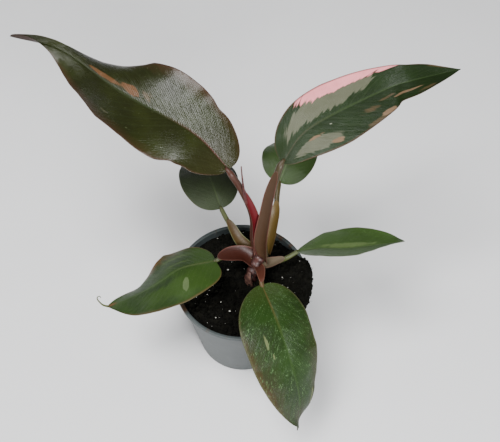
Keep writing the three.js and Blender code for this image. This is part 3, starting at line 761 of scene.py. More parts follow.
def upper_face_colour(sheet, look, leaf_place, along, veins, hairs, cloud, tone, seed):
    """Greens, side veins, the base, markings and painted shade, speckles, the midrib and the margin, in that
    order.
    """
    colour = sheet.mix(cloud, look["dark"], look["light"])
    colour = sheet.mix(sheet.math("MULTIPLY", veins["Side Veins"], VEIN_TINT), colour, look["vein"])
    colour = sheet.mix(sheet.math("MULTIPLY", hairs["Side Veins"], HAIR_TINT), colour, look["vein"])
    near_base = sheet.math("SUBTRACT", 1.0, sheet.step(along, 0.0, PALE_BASE_END))
    colour = sheet.mix(sheet.math("MULTIPLY", near_base, BASE_TINT), colour, look["base"])
    for number, patch_entry in enumerate(look["patches"]):
        colour = add_marking_and_painted_shade(sheet, leaf_place, patch_entry, seed + 3.7 * number, tone, colour)
    speckles = sheet.group("Leaf Speckles", {**leaf_place, "Amount": look["speckle"], "Seed": seed})
    pale = tuple(2.6 * channel + 0.04 for channel in look["light"])
    colour = sheet.mix(sheet.math("MULTIPLY", speckles["Mask"], SPECKLE_TINT), colour, pale)
    rib_colour = sheet.mix(sheet.step(along, 0.05, 0.4), look["rib_base"], look["rib"])
    colour = sheet.mix(sheet.math("MULTIPLY", veins["Midrib"], RIB_TINT), colour, rib_colour)
    edge = sheet.math("MULTIPLY", veins["Margin"], sheet.between(sheet.noise(60.0), 0.5, 1.0))
    return sheet.mix(edge, colour, look["margin"])


def leaf_material(name, look, seed):
    """A glossy blade with its own greens, veins, midrib, margin, markings, painted shade and speckles."""
    material, sheet, shader = new_material(f"leaf_{name}", Specular_IOR_Level=look.get("gloss", LEAF_GLOSS))
    along, across, upper = sheet.split_place()
    leaf_place = {"Along": along, "Across": across, "Count": VEIN_COUNT, "Slant": VEIN_SLANT}
    hair_place = {**leaf_place, "Count": HAIRS_PER_VEIN * VEIN_COUNT, "Slant": HAIRS_PER_VEIN * VEIN_SLANT}
    veins = sheet.group("Leaf Veins", {**leaf_place, "Line Width": VEIN_LINE})
    hairs = sheet.group("Leaf Veins", {**hair_place, "Line Width": HAIR_LINE})
    skin = sheet.group("Plant Skin", {})
    cloud = sheet.step(sheet.noise(38.0, 5.0, 0.6), 0.35, 0.68)
    colour = upper_face_colour(sheet, look, leaf_place, along, veins, hairs, cloud, skin["Tone"], seed)
    under = sheet.mix(cloud, look["under"], toned(look["under"], 0.75))
    colour = sheet.mix(upper, under, colour)
    rough = look["roughness"]
    roughness = sheet.between(skin["Tone"], rough - 0.06, rough + 0.16)
    height = sheet.math("ADD", sheet.math("MULTIPLY", skin["Height"], SKIN_RELIEF),
                        sheet.math("MULTIPLY", hairs["Side Veins"], HAIR_RELIEF))
    height = sheet.math("ADD", height, sheet.math("MULTIPLY", veins["Streaks"], STREAK_RELIEF))
    finish_material(sheet, shader, Base_Color=colour, Roughness=roughness,
                    Normal=sheet.bump(height, 0.5, 0.6 * MM))
    return material


def stalk_material(name, look):
    """The skin of one stalk and its sheath. place holds along, across and which side it is."""
    rod, inner, outer, margin = look
    material, sheet, shader = new_material(f"stalk_{name}", Specular_IOR_Level=0.25)
    along, across, side = sheet.split_place()
    skin = sheet.group("Plant Skin", {"Uneven Scale": 260.0})
    ribs = sheet.noise(1.0, 3.0, 0.6, sheet.vector(sheet.math("MULTIPLY", across, 9.0),
                                                   sheet.math("MULTIPLY", along, 3.0)))
    sheath = sheet.mix(sheet.step(side, 0.55, 0.95), outer, inner)
    is_sheath = sheet.step(side, 0.05, 0.3)
    colour = sheet.mix(is_sheath, rod, sheath)
    streaks = sheet.mix(0.5, colour, toned(outer, 1.6))
    colour = sheet.mix(sheet.math("MULTIPLY", sheet.step(ribs, 0.4, 0.7), 0.5), colour, streaks)
    edge = sheet.math("MULTIPLY", sheet.step(sheet.math("ABSOLUTE", across), 0.80, 0.97), is_sheath)
    colour = sheet.mix(sheet.math("MULTIPLY", edge, 0.8), colour, margin)
    height = sheet.math("ADD", skin["Height"], sheet.math("MULTIPLY", ribs, 0.8))
    finish_material(sheet, shader, Base_Color=colour, Roughness=sheet.between(skin["Tone"], 0.28, 0.5),
                    Normal=sheet.bump(height, 0.3, 0.3 * MM))
    return material


def skin_material(name, dark, light, roughness):
    """Plain plant skin for the stem, the dried sheath, the rolled leaf and the roots."""
    material, sheet, shader = new_material(name)
    skin = sheet.group("Plant Skin", {"Uneven Scale": 420.0})
    colour = sheet.mix(sheet.step(skin["Tone"], 0.35, 0.65), dark, light)
    rough = sheet.between(skin["Tone"], roughness - 0.1, roughness + 0.1)
    finish_material(sheet, shader, Base_Color=colour, Roughness=rough,
                    Normal=sheet.bump(skin["Height"], 0.5, 0.4 * MM))
    return material


PEAT_CLUMP = (0.008, 0.0075, 0.005)
PEAT_FIBRE = (0.018, 0.014, 0.008)
PERLITE_PIT = (0.22, 0.21, 0.18)
PERLITE_WHITE = (0.50, 0.49, 0.44)
SOIL_DUST = (0.12, 0.09, 0.06)
SCUFFED_PLASTIC = (0.25, 0.28, 0.28)
RIM_STAIN = (0.050, 0.026, 0.013)
DRIED_SOIL = (0.014, 0.011, 0.007)


def peat_material(colour):
    """Moist crumbly peat: near black, with browner fibres and lighter clumps."""
    material, sheet, shader = new_material("peat", Specular_IOR_Level=0.08)
    clumps = sheet.noise(260.0, 6.0, 0.7)
    fibres = sheet.noise(900.0, 4.0, 0.7, distortion=1.5)
    tone = sheet.mix(sheet.step(clumps, 0.45, 0.75), tuple(colour), PEAT_CLUMP)
    tone = sheet.mix(sheet.step(fibres, 0.62, 0.78), tone, PEAT_FIBRE)
    height = sheet.math("ADD", clumps, sheet.math("MULTIPLY", fibres, 0.6))
    finish_material(sheet, shader, Base_Color=tone, Roughness=sheet.between(clumps, 0.75, 1.0),
                    Normal=sheet.bump(height, 0.9, 1.2 * MM))
    return material


def perlite_material():
    """White expanded glass foam with dark pits and a little soil dust."""
    material, sheet, shader = new_material("perlite", Specular_IOR_Level=0.3)
    pits = sheet.cells(2600.0)
    dust = sheet.step(sheet.noise(700.0, 3.0, 0.6), 0.5, 0.72)
    colour = sheet.mix(sheet.step(pits, 0.1, 0.5), PERLITE_PIT, PERLITE_WHITE)
    colour = sheet.mix(sheet.math("MULTIPLY", dust, 0.55), colour, SOIL_DUST)
    finish_material(sheet, shader, Base_Color=colour, Roughness=sheet.between(dust, 0.8, 0.95),
                    Normal=sheet.bump(pits, 0.8, 0.3 * MM))
    return material


def pot_material(colour):
    """Thin satin plastic with faint moulding streaks, scuffs and splashes of soil."""
    material, sheet, shader = new_material("pot_plastic", Specular_IOR_Level=0.5)
    place = sheet.position()
    parts = sheet.add("ShaderNodeSeparateXYZ", {0: place})
    height = sheet.math("DIVIDE", parts.outputs[2], RIM_HEIGHT)
    around = sheet.math("ARCTAN2", parts.outputs[1], parts.outputs[0])
    cloud = sheet.noise(45.0, 4.0, 0.55)
    tone = sheet.mix(cloud, toned(colour, 0.86), toned(colour, 1.1))
    scuffs = sheet.step(sheet.noise(160.0, 5.0, 0.7, distortion=2.0), 0.60, 0.70)
    tone = sheet.mix(sheet.math("MULTIPLY", scuffs, 0.2), tone, SCUFFED_PLASTIC)
    splashes = sheet.noise(300.0, 5.0, 0.75)
    low = sheet.math("SUBTRACT", 1.0, sheet.step(height, 0.03, 0.5))
    limit = sheet.math("SUBTRACT", 0.72, sheet.math("MULTIPLY", low, 0.14))
    dirt = sheet.step(splashes, limit, sheet.math("ADD", limit, 0.03))
    rim = sheet.step(height, 0.955, 0.985)
    stains = sheet.noise(1.0, 3.0, 0.6, sheet.vector(sheet.math("MULTIPLY", around, 3.2), 4.7))
    stain = sheet.math("MULTIPLY", sheet.step(stains, 0.55, 0.64), rim)
    tone = sheet.mix(stain, tone, RIM_STAIN)
    tone = sheet.mix(dirt, tone, DRIED_SOIL)
    rough = sheet.between(cloud, 0.38, 0.56)
    finish_material(sheet, shader, Base_Color=tone, Roughness=rough,
                    Normal=sheet.bump(sheet.math("ADD", cloud, dirt), 0.25, 0.4 * MM))
    return material


def floor_material(colour):
    """Matt white card with a very faint mottle."""
    material, sheet, shader = new_material("floor_card", Specular_IOR_Level=0.2)
    mottle = sheet.noise(14.0, 4.0, 0.5)
    tone = sheet.mix(mottle, toned(colour, 0.97), toned(colour, 1.02))
    finish_material(sheet, shader, Base_Color=tone, Roughness=sheet.between(mottle, 0.6, 0.75))
    return material


# ---- Blades ----

BLADE_ROWS = 150
BLADE_COLUMNS = 56
RIB_WIDTH = 1.3 * MM
RIB_RIDGE = 0.9 * MM
RIB_GROOVE = 0.35 * MM
EDGE_THICKNESS = 0.22 * MM


def outline(leaf, s):
    """Half width at shares s of the length, as a share of the widest."""
    widest, shoulder, taper_start, point = leaf["shape"]
    rise = BASE_SHARE + (1 - BASE_SHARE) * (1 - (1 - np.clip(s / widest, 0, 1))**2)**shoulder
    u = np.clip((s - widest) / (1 - widest), 0, 1)
    return np.where(s < widest, rise, (1 - u**taper_start)**point)


def side_veins(s, t):
    """1 on a side vein's line, falling to 0 midway between two veins."""
    phase = s * VEIN_COUNT - np.abs(t) * VEIN_SLANT
    ridge = np.abs(phase - np.floor(phase) - 0.5) * 2
    return ridge**3 * (1 - smooth(0.75, 1.0, np.abs(t))) * smooth(0.02, 0.1, np.abs(t))


def blade_shell(leaf, settings, seed):
    """Points, faces and places of one blade: veined, waved, thick at the rib, thin at the edge."""
    s = 0.5 * (1 - np.cos(np.pi * np.linspace(0, 1, BLADE_ROWS)))
    s = mix(s, np.linspace(0, 1, BLADE_ROWS), 0.6)
    t = np.sin(np.linspace(math.pi / 2, -math.pi / 2, BLADE_COLUMNS + 1))
    t = mix(t, np.linspace(1, -1, BLADE_COLUMNS + 1), 0.5)
    rib = curve_points(from_rim(leaf["rib"]), s)
    along, left, out = frames(rib, leaf["face"], s)
    share = outline(leaf, s)[:, None]
    grid_s = np.broadcast_to(s[:, None], (BLADE_ROWS, BLADE_COLUMNS + 1))
    grid_t = np.broadcast_to(t[None, :], grid_s.shape)

    def by_side(pair):
        return np.where(grid_t >= 0, pair[0], pair[1])

    half = by_side(leaf["half"]) * MM
    reach = np.abs(grid_t) * np.maximum(TIP_HALF, half * share)
    for centre, side, outward, spread in leaf.get("kinks", ()):
        near = np.exp(-((grid_s - centre) / spread)**2) * (np.sign(grid_t) == side)
        reach = reach + outward * MM * near * grid_t**4
    height, waves, phase = (by_side(values) for values in zip(*leaf["wave"]))
    swell = np.sqrt(np.sin(np.pi * np.clip(grid_s, 0, 1)))
    ripple = height * MM * np.sin(2 * np.pi * (waves * grid_s + phase)) * grid_t**2 * swell
    fold = math.radians(leaf["fold"])
    lift = reach * math.sin(fold) - 0.5 * leaf["camber"] / MM * reach**2 + ripple
    back = by_side(leaf["lobe"]) * MM * (1 - grid_s)**4 * (share * np.abs(grid_t))**1.6
    middle = (rib[:, None] + left[:, None] * (np.sign(grid_t) * reach * math.cos(fold))[..., None]
              + out[:, None] * lift[..., None] - along[:, None] * back[..., None])
    uneven = ripples(middle.reshape(-1, 3), 40 * MM, 8 * MM, 24, seed).reshape(grid_s.shape)
    middle += out[:, None] * (0.22 * MM * uneven * swell * np.abs(grid_t))[..., None]

    rib_size = mix(1.0, 0.25, grid_s)
    rib_shape = np.exp(-(reach / (RIB_WIDTH * rib_size))**2)
    half_thickness = mix(settings.thickness, EDGE_THICKNESS, np.abs(grid_t)**2) / 2
    veins = settings.vein_depth * side_veins(grid_s, grid_t) * np.minimum(1, share * 1.5)
    over = half_thickness - RIB_GROOVE * rib_size * rib_shape - veins
    below = half_thickness + RIB_RIDGE * rib_size * rib_shape - 0.6 * veins
    top = middle + out[:, None] * over[..., None]
    under = (middle - out[:, None] * below[..., None])[:, ::-1]
    points = np.concatenate([top, under], axis=1).reshape(-1, 3)
    place_top = np.stack([grid_s, grid_t, np.ones_like(grid_s)], -1)
    place_under = np.stack([grid_s, grid_t, np.zeros_like(grid_s)], -1)[:, ::-1]
    places = np.concatenate([place_top, place_under], axis=1).reshape(-1, 3)
    return points, ring_faces(BLADE_ROWS, 2 * (BLADE_COLUMNS + 1)), places


CURLED_TIP_WAY = [(-90.6, -12.8, -14.8), (-94.4, -12.1, -14), (-97.5, -10.2, -11), (-97.8, -9.1, -9),
                  (-96.2, -8.7, -8), (-95.3, -9.3, -9)]


def curled_tip_shell():
    """The dried thread that curls up from the left leaf's tip."""
    steps, sides = 40, 10
    half = mix(0.75, 0.22, np.linspace(0, 1, steps)) * MM
    points, s, across, _ = ribbon(from_rim(CURLED_TIP_WAY), [(0, 0.2, 1), (1, 0.2, 0.2)], half, 2 * half,
                                  np.zeros(steps), steps, sides)
    places = np.stack([np.ones_like(s), 0 * across, np.ones_like(s)], -1).reshape(-1, 3)
    return points, ring_faces(steps, sides), places


def keep_to_node(points, node):
    """Stretches points by the little that makes their box the CAD node's box."""
    low, high = (np.array(corner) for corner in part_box(node))
    own_low, own_high = points.min(0), points.max(0)
    return low + (points - own_low) / (own_high - own_low) * (high - low)


class PHILODENDRON_OT_blades(bpy.types.Operator):
    """Builds the leaf blades with their veins, coloured markings and painted shade"""

    bl_idname = "philodendron.blades"
    bl_label = "Leaf blades"

    def execute(self, context):
        settings = context.scene.philodendron_leaves
        for number, (name, leaf) in enumerate(LEAVES.items()):
            points, faces, places = blade_shell(leaf, settings, 10 + number)
            points = keep_to_node(points, f"leaf_{name}")
            if name == "left":
                points, faces, places = join_shells([(points, faces, places), curled_tip_shell()])
            mesh = make_mesh(f"blade_{name}", points, faces, places)
            material = leaf_material(name, LOOKS[name], 11.3 * (number + 1))
            add_piece(f"blade_{name}", mesh, material, [f"leaf_{name}"])
        return {"FINISHED"}


# ---- Stalks, sheaths and stem ----

STALK_STEPS = 60
STALK_SIDES = 24
SHEATH_THICKNESS = 0.7 * MM
SHEATH_STEPS = 70
SHEATH_SIDES = 44
SHEATHED_ROD = 0.8
SHEATHED_DROP = 0.5
SHEATH_END_WIDTH = 0.62
SHEATH_END_THICKNESS = 0.6
SHEATH_END_WRAP = 0.3


def ribbon(path, faces, half, thick, wrap, steps, sides):
    """Rings of a rod or gutter along a path. half, thick and wrap are arrays over the steps."""
    s = np.linspace(0, 1, steps)
    centre = curve_points(path, s)
    _, left, out = frames(centre, faces, s)
    turn = np.linspace(0, 2 * math.pi, sides, endpoint=False)
    across = np.cos(turn)[None, :]
    depth = thick[:, None] / 2 * np.sin(turn)[None, :]
    bend = np.maximum(wrap[:, None] / 2, 1e-4)
    radius = half[:, None] / bend
    angle = bend * across
    middle = radius * np.sin(angle) - depth * np.sin(angle)
    raised = radius * (1 - np.cos(angle)) + depth * np.cos(angle)
    points = centre[:, None] + left[:, None] * middle[..., None] + out[:, None] * raised[..., None]
    return points.reshape(-1, 3), np.broadcast_to(s[:, None], middle.shape), np.broadcast_to(
        across, middle.shape), np.broadcast_to(np.sin(turn)[None, :], middle.shape)


def stalk_path(leaf):
    """The stalk's way, carried a little into the blade's midrib."""
    rib = curve_points(from_rim(leaf["rib"]), [0, 0.02])
    return np.vstack([from_rim(leaf["way"]), rib])


def stalk_shell(leaf):
    """The rod of one stalk: thinner and lower where its sheath covers it, and drawn in at the blade."""
    steps = np.linspace(0, 1, STALK_STEPS)
    radius = mix(leaf["radius"][0], leaf["radius"][1], steps) * MM
    radius = radius * mix(1.0, 0.55, smooth(0.93, 1.0, steps))
    reach = leaf["sheath"]["reach"]
    bare = smooth(reach - 0.25, reach, steps)
    path = curve_points(stalk_path(leaf), steps)
    _, _, out = frames(path, leaf["stalk_face"], steps)
    path = path - out * (SHEATHED_DROP * radius * (1 - bare))[:, None]
    radius = radius * mix(SHEATHED_ROD, 1.0, bare)
    points, s, across, _ = ribbon(path, leaf["stalk_face"], radius, 2 * radius,
                                  np.zeros(STALK_STEPS), STALK_STEPS, STALK_SIDES)
    places = np.stack([s, across, np.zeros_like(s)], -1).reshape(-1, 3)
    return points, ring_faces(STALK_STEPS, STALK_SIDES), places


def sheath_shell(leaf):
    """The sheath: a thin gutter with free margins and a rounded free tip."""
    reach, width, wrap, free = (leaf["sheath"][key] for key in ("reach", "width", "wrap", "free"))
    shares = np.linspace(0, 1, 9)
    spine = curve_points(stalk_path(leaf), shares * reach)
    _, _, out = frames(spine, leaf["stalk_face"], shares * reach)
    radius = mix(leaf["radius"][0], leaf["radius"][1], shares * reach)
    lift = (0.5 * radius + free * shares**3) * MM
    path = spine + out * lift[:, None]
    face_end = mix(np.array(leaf["stalk_face"][0]), np.array(leaf["stalk_face"][1]), reach)
    s = np.linspace(0, 1, SHEATH_STEPS)
    half = np.maximum(TIP_HALF, width * MM * mix(1.0, SHEATH_END_WIDTH, s) * np.sqrt(1 - s**5))
    margins = mix(1.0, 1.05, np.sin(9 * s + width))
    thick = SHEATH_THICKNESS * mix(1.0, SHEATH_END_THICKNESS, s)
    bend = wrap * mix(1.0, SHEATH_END_WRAP, s)
    points, along, across, upward = ribbon(path, [leaf["stalk_face"][0], face_end], half * margins,
                                           thick, bend, SHEATH_STEPS, SHEATH_SIDES)
    side = 0.5 + 0.5 * np.sign(upward) * smooth(0, 0.3, np.abs(upward))
    places = np.stack([along, across, 0.35 + 0.65 * side], -1).reshape(-1, 3)
    return points, ring_faces(SHEATH_STEPS, SHEATH_SIDES), places


class PHILODENDRON_OT_stalks(bpy.types.Operator):
    """Builds the leaf stalks with their sheaths"""

    bl_idname = "philodendron.stalks"
    bl_label = "Leaf stalks"

    def execute(self, context):
        for name, leaf in LEAVES.items():
            points, faces, places = join_shells([stalk_shell(leaf), sheath_shell(leaf)])
            mesh = make_mesh(f"stalk_skin_{name}", points, faces, places)
            material = stalk_material(name, STALK_LOOKS[name])
            add_piece(f"stalk_skin_{name}", mesh, material, [f"stalk_{name}"])
        return {"FINISHED"}


STEM_WAY = [(4, -1, -19), (5, 2, -8), (9, 10, 2), (12.4, 14, 7)]
STEM_RADIUS = 4.6
OLD_SHEATH_WAY = [(3.4, -2.2, -7), (3.8, 0, 0), (4.6, 3, 4)]
NEW_LEAF_WAY = [(3.2, 26.4, 48), (2, 27.2, 57), (0.8, 28, 71), (0.1, 29.1, 83)]
PLAIN_STEPS = 40
STEM_RINGS = 0.06
DRIED_THICKNESS = 0.7

# The name of a skin, its dark and light tone and its roughness.
STEM_SKIN = ("stem_skin", (0.022, 0.007, 0.006), (0.060, 0.018, 0.014), 0.45)
DRIED_SKIN = ("dried_sheath", (0.040, 0.014, 0.010), (0.110, 0.050, 0.034), 0.7)
NEW_LEAF_SKIN = ("new_leaf_skin", (0.040, 0.008, 0.010), (0.090, 0.024, 0.020), 0.35)
ROOT_SKIN = ("root_skin", (0.42, 0.33, 0.22), (0.66, 0.58, 0.44), 0.8)


def add_plain_piece(name, way, face, half, thick, wrap, skin, node, sides=24):
    """A rod or gutter in one skin, whose upper face looks the same way all along."""
    points, s, across, _ = ribbon(from_rim(way), [face, face], half * MM, thick * MM, wrap,
                                  PLAIN_STEPS, sides)
    places = np.stack([s, across, np.zeros_like(s)], -1).reshape(-1, 3)
    mesh = make_mesh(name, points, ring_faces(PLAIN_STEPS, sides), places)
    add_piece(name, mesh, skin_material(*skin), [node])


class PHILODENDRON_OT_stem(bpy.types.Operator):
    """Builds the stem, the dried sheath at its foot and the rolled new leaf"""

    bl_idname = "philodendron.stem"
    bl_label = "Stem and new leaf"

    def execute(self, context):
        s = np.linspace(0, 1, PLAIN_STEPS)
        half = STEM_RADIUS * mix(1.0, 0.85, s) * (1 + STEM_RINGS * np.cos(s * 40))
        add_plain_piece("stem_skin", STEM_WAY, (0, -1, 0.3), half, 2 * half, 0 * s, STEM_SKIN, "stem")
        half = mix(5.2, 1.4, s)
        add_plain_piece("dried_sheath", OLD_SHEATH_WAY, (0.6, 0.75, 0.2), half, DRIED_THICKNESS + 0 * s,
                        mix(2.2, 1.4, s), DRIED_SKIN, "old_sheath")
        half = mix(1.0, 0.35, s)
        add_plain_piece("rolled_leaf", NEW_LEAF_WAY, (0, -1, 0), half, 2 * half, 0 * s, NEW_LEAF_SKIN,
                        "new_leaf", sides=16)
        return {"FINISHED"}


class PHILODENDRON_OT_roots(bpy.types.Operator):
    """Gives the roots inside the soil their skin"""

    bl_idname = "philodendron.roots"
    bl_label = "Roots"

    def execute(self, context):
        material = skin_material(*ROOT_SKIN)
        for name in ROOT_NODES:
            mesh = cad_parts[name].data
            mesh.materials.clear()
            mesh.materials.append(material)
        return {"FINISHED"}


# ---- Pot ----

POT_SEGMENTS = 192
LIP_HEIGHT = 2.6 * MM
LIP_REACH = 1.6 * MM
BASE_RADIUS = 32.7 * MM
FLOOR_THICKNESS = 1.5 * MM
FOOT_FILLET = 1.5 * MM
DRAIN_HOLES = 6
DRAIN_RADIUS = 3 * MM
DRAIN_CIRCLE = 22 * MM
DRAIN_MARGIN = 1.8 * DRAIN_RADIUS
DRAIN_SEGMENTS = 32
LIP_ROUND = 0.5 * MM
SHARP_ANGLE = math.radians(40)


def wall_radius(height):
    """The outer radius of the pot's tapered wall at a height."""
    return mix(BASE_RADIUS, RIM_RADIUS - LIP_REACH, height / RIM_HEIGHT)


def arc(centre_r, centre_z, radius, start, end, steps):
    """Profile points on an arc, from and to angles in degrees above the outward direction."""
    turns = np.radians(np.linspace(start, end, steps))
    return [(centre_r + radius * math.cos(a), centre_z + radius * math.sin(a)) for a in turns]


def pot_profile(wall):
    """Radius and height from the middle of the underside, round the lip, to the inside's middle."""
    band = RIM_HEIGHT - LIP_HEIGHT
    profile = [(0.0, 0.0), (DRAIN_CIRCLE - DRAIN_MARGIN, 0.0), (DRAIN_CIRCLE + DRAIN_MARGIN, 0.0)]
    profile += arc(wall_radius(FOOT_FILLET) - FOOT_FILLET, FOOT_FILLET, FOOT_FILLET, -90, 0, 7)
    profile += [(wall_radius(h), h) for h in np.linspace(4 * FOOT_FILLET, band - LIP_ROUND, 14)]
    profile += [(wall_radius(band), band)]
    profile += arc(RIM_RADIUS - LIP_ROUND, band + LIP_ROUND, LIP_ROUND, -90, 0, 4)
    profile += arc(RIM_RADIUS - LIP_ROUND, RIM_HEIGHT - LIP_ROUND, LIP_ROUND, 0, 90, 5)
    inside = wall_radius(RIM_HEIGHT) - wall
    profile += arc(inside + LIP_ROUND, RIM_HEIGHT - LIP_ROUND, LIP_ROUND, 90, 180, 5)
    profile += [(wall_radius(h) - wall, h) for h in np.linspace(RIM_HEIGHT - 3 * MM, FLOOR_THICKNESS, 16)]
    profile += [(DRAIN_CIRCLE, FLOOR_THICKNESS), (0.0, FLOOR_THICKNESS)]
    return profile


def lathe(profile, segments):
    """Points and faces of a closed turned shape whose profile starts and ends on the axis."""
    turns = np.linspace(0, 2 * math.pi, segments, endpoint=False)
    body = np.array(profile[1:-1])
    points = np.stack([body[:, 0, None] * np.cos(turns), body[:, 0, None] * np.sin(turns),
                       np.broadcast_to(body[:, 1, None], (len(body), segments))], -1).reshape(-1, 3)
    faces = as_faces(ring_walls(len(body), segments))
    first, last = len(points), len(points) + 1
    top = (len(body) - 1) * segments
    for here in range(segments):
        following = (here + 1) % segments
        faces.append((first, following, here))
        faces.append((last, top + here, top + following))
    ends = [(0, 0, profile[0][1]), (0, 0, profile[-1][1])]
    return np.vstack([points, ends]), faces


def cut_drains(mesh):
    """The mesh with round drain holes through its floor."""
    body = bpy.data.objects.new("pot_blank", mesh)
    bpy.context.scene.collection.objects.link(body)
    shells = []
    for number in range(DRAIN_HOLES):
        turn = 2 * math.pi * number / DRAIN_HOLES
        plug = [(0, -FLOOR_THICKNESS), (DRAIN_RADIUS, -FLOOR_THICKNESS),
                (DRAIN_RADIUS, 2 * FLOOR_THICKNESS), (0, 2 * FLOOR_THICKNESS)]
        points, faces = lathe(plug, DRAIN_SEGMENTS)
        points = points + (DRAIN_CIRCLE * math.cos(turn), DRAIN_CIRCLE * math.sin(turn), 0)
        shells.append((points, faces, np.zeros((len(points), 3))))
    points, faces, _ = join_shells(shells)
    plugs = bpy.data.objects.new("drain_plugs", make_mesh("drain_plugs", points, faces))
    bpy.context.scene.collection.objects.link(plugs)
    cut = body.modifiers.new("drains", "BOOLEAN")
    cut.object = plugs
    cut.operation = "DIFFERENCE"
    cut.solver = "EXACT"
    graph = bpy.context.evaluated_depsgraph_get()
    result = bpy.data.meshes.new_from_object(body.evaluated_get(graph))
    for helper in (body, plugs):
        bpy.data.objects.remove(helper)
    return result


class PHILODENDRON_OT_pot(bpy.types.Operator):
    """Builds the tapered pot with its lip and drain holes"""

    bl_idname = "philodendron.pot"
    bl_label = "Pot"

    def execute(self, context):
        settings = context.scene.philodendron_pot
        points, faces = lathe(pot_profile(settings.wall), POT_SEGMENTS)
        mesh = cut_drains(make_mesh("pot_shell", points, faces))
        mesh.name = "pot_shell"
        mesh.shade_smooth()
        mesh.set_sharp_from_angle(angle=SHARP_ANGLE)
        add_piece("pot_shell", mesh, pot_material(settings.colour), ["pot"])
        return {"FINISHED"}


# ---- Soil ----

SOIL_SEGMENTS = 300
SOIL_RINGS = 90
HEADSPACE = 5 * MM
SPILL_HEAP = 1.8 * MM
OVERSPILL = 2.6 * MM
SOIL_LINE = RIM_HEIGHT - HEADSPACE
WALL_GAP = 0.3 * MM
CAD_WALL = 1.0 * MM
EDGE_RISE = 0.6 * MM
BACK_SETTLING = 0.2
SOIL_CHAMFER = 1 * MM
BODY_RINGS = 3

# The spill's two ends, each as the angles between which it rises or falls, in degrees.
SPILL_START = (-42, -30)
SPILL_END = (14, 26)
HEAP_MARGIN = 16

# A clump of peat by the wall at the back, in millimetres.
CLUMP_PLACE = (1, 0.8 * RIM_RADIUS / MM)
CLUMP_HEIGHT = 7
CLUMP_SPREAD = 30


def inner_radius(height):
    return wall_radius(height) - CAD_WALL


def spill_share(turn, margin):
    """1 where the soil spills over the rim, falling to 0 on both sides. margin widens it in degrees."""
    degrees = np.degrees(turn)
    rise = smooth(SPILL_START[0] - margin, SPILL_START[1] - margin, degrees)
    return rise * (1 - smooth(SPILL_END[0] + margin, SPILL_END[1] + margin, degrees))


def soil_edge(turn):
    """The soil's height at the wall: settled at the back left, spilling over on the right."""
    settled = SOIL_LINE + EDGE_RISE - BACK_SETTLING * HEADSPACE * np.sin(turn)
    return mix(settled, RIM_HEIGHT + WALL_GAP + SPILL_HEAP, spill_share(turn, HEAP_MARGIN))


def soil_top(x, y):
    """The soil's height without its crumbs."""
    turn = np.arctan2(y, x)
    outward = np.clip(np.hypot(x, y) / inner_radius(RIM_HEIGHT), 0, 1)
    u, v = x / MM, y / MM
    lumps = 0.7 * np.sin(u / 3.7 + 1) * np.cos(v / 4.6) + 0.5 * np.sin(u / 2.1 - v / 2.7)
    clump_x, clump_y = CLUMP_PLACE
    clump = CLUMP_HEIGHT * np.exp(-((u - clump_x)**2 + (v - clump_y)**2) / CLUMP_SPREAD)
    return mix(SOIL_LINE, soil_edge(turn), outward**3) + (lumps * (1 - 0.6 * outward) + clump) * MM


def soil_outer(turn):
    return mix(inner_radius(RIM_HEIGHT) - WALL_GAP, RIM_RADIUS + OVERSPILL, spill_share(turn, 0))


def soil_rings(turns):
    """Radii and heights of the soil's rings: two on its plain body, two at the wall, then the top."""
    edge = soil_edge(turns)
    foot = np.minimum(RIM_HEIGHT + WALL_GAP, edge - 1.2 * MM)
    outer = soil_outer(turns)
    at_wall = inner_radius(np.minimum(foot, RIM_HEIGHT)) - WALL_GAP
    low_radius = np.full(SOIL_SEGMENTS, inner_radius(SOIL_FOOT) - WALL_GAP)
    low = np.full(SOIL_SEGMENTS, SOIL_FOOT)
    radii = [low_radius - SOIL_CHAMFER, low_radius, at_wall, outer]
    heights = [low, low + SOIL_CHAMFER, foot, mix(foot, edge, 0.3)]
    for share in np.linspace(0.995, 0.02, SOIL_RINGS)**0.85:
        radius = outer * share
        radii.append(radius)
        heights.append(soil_top(radius * np.cos(turns), radius * np.sin(turns)))
    return np.array(radii), np.array(heights)


def roughen(top):
    """Gives the soil's top its crumbs, and its outline a ragged edge."""
    coarse = 0.55 * ripples(top, 9 * MM, 2.2 * MM, 40, 3)
    fine = 0.28 * ripples(top, 2.4 * MM, 0.9 * MM, 40, 4)
    top[:, 2] += MM * (coarse + fine)
    top[:, :2] *= (1 + 0.012 * ripples(top, 5 * MM, 1 * MM, 20, 5))[:, None]
    return top


def soil_shell():
    """The soil's crumbly top, rounded off at the wall and over the rim, on a plain body."""
    turns = np.linspace(-math.pi, math.pi, SOIL_SEGMENTS, endpoint=False)
    radii, heights = soil_rings(turns)
    points = np.stack([radii * np.cos(turns), radii * np.sin(turns), heights], -1)
    top = points[BODY_RINGS:].reshape(-1, 3)
    points[BODY_RINGS:] = roughen(top).reshape(points[BODY_RINGS:].shape)
    faces = as_faces(ring_walls(len(radii), SOIL_SEGMENTS))
    last_ring = (len(radii) - 1) * SOIL_SEGMENTS
    faces.append(tuple(range(SOIL_SEGMENTS - 1, -1, -1)))
    faces.append(tuple(range(last_ring, last_ring + SOIL_SEGMENTS)))
    return points.reshape(-1, 3), faces


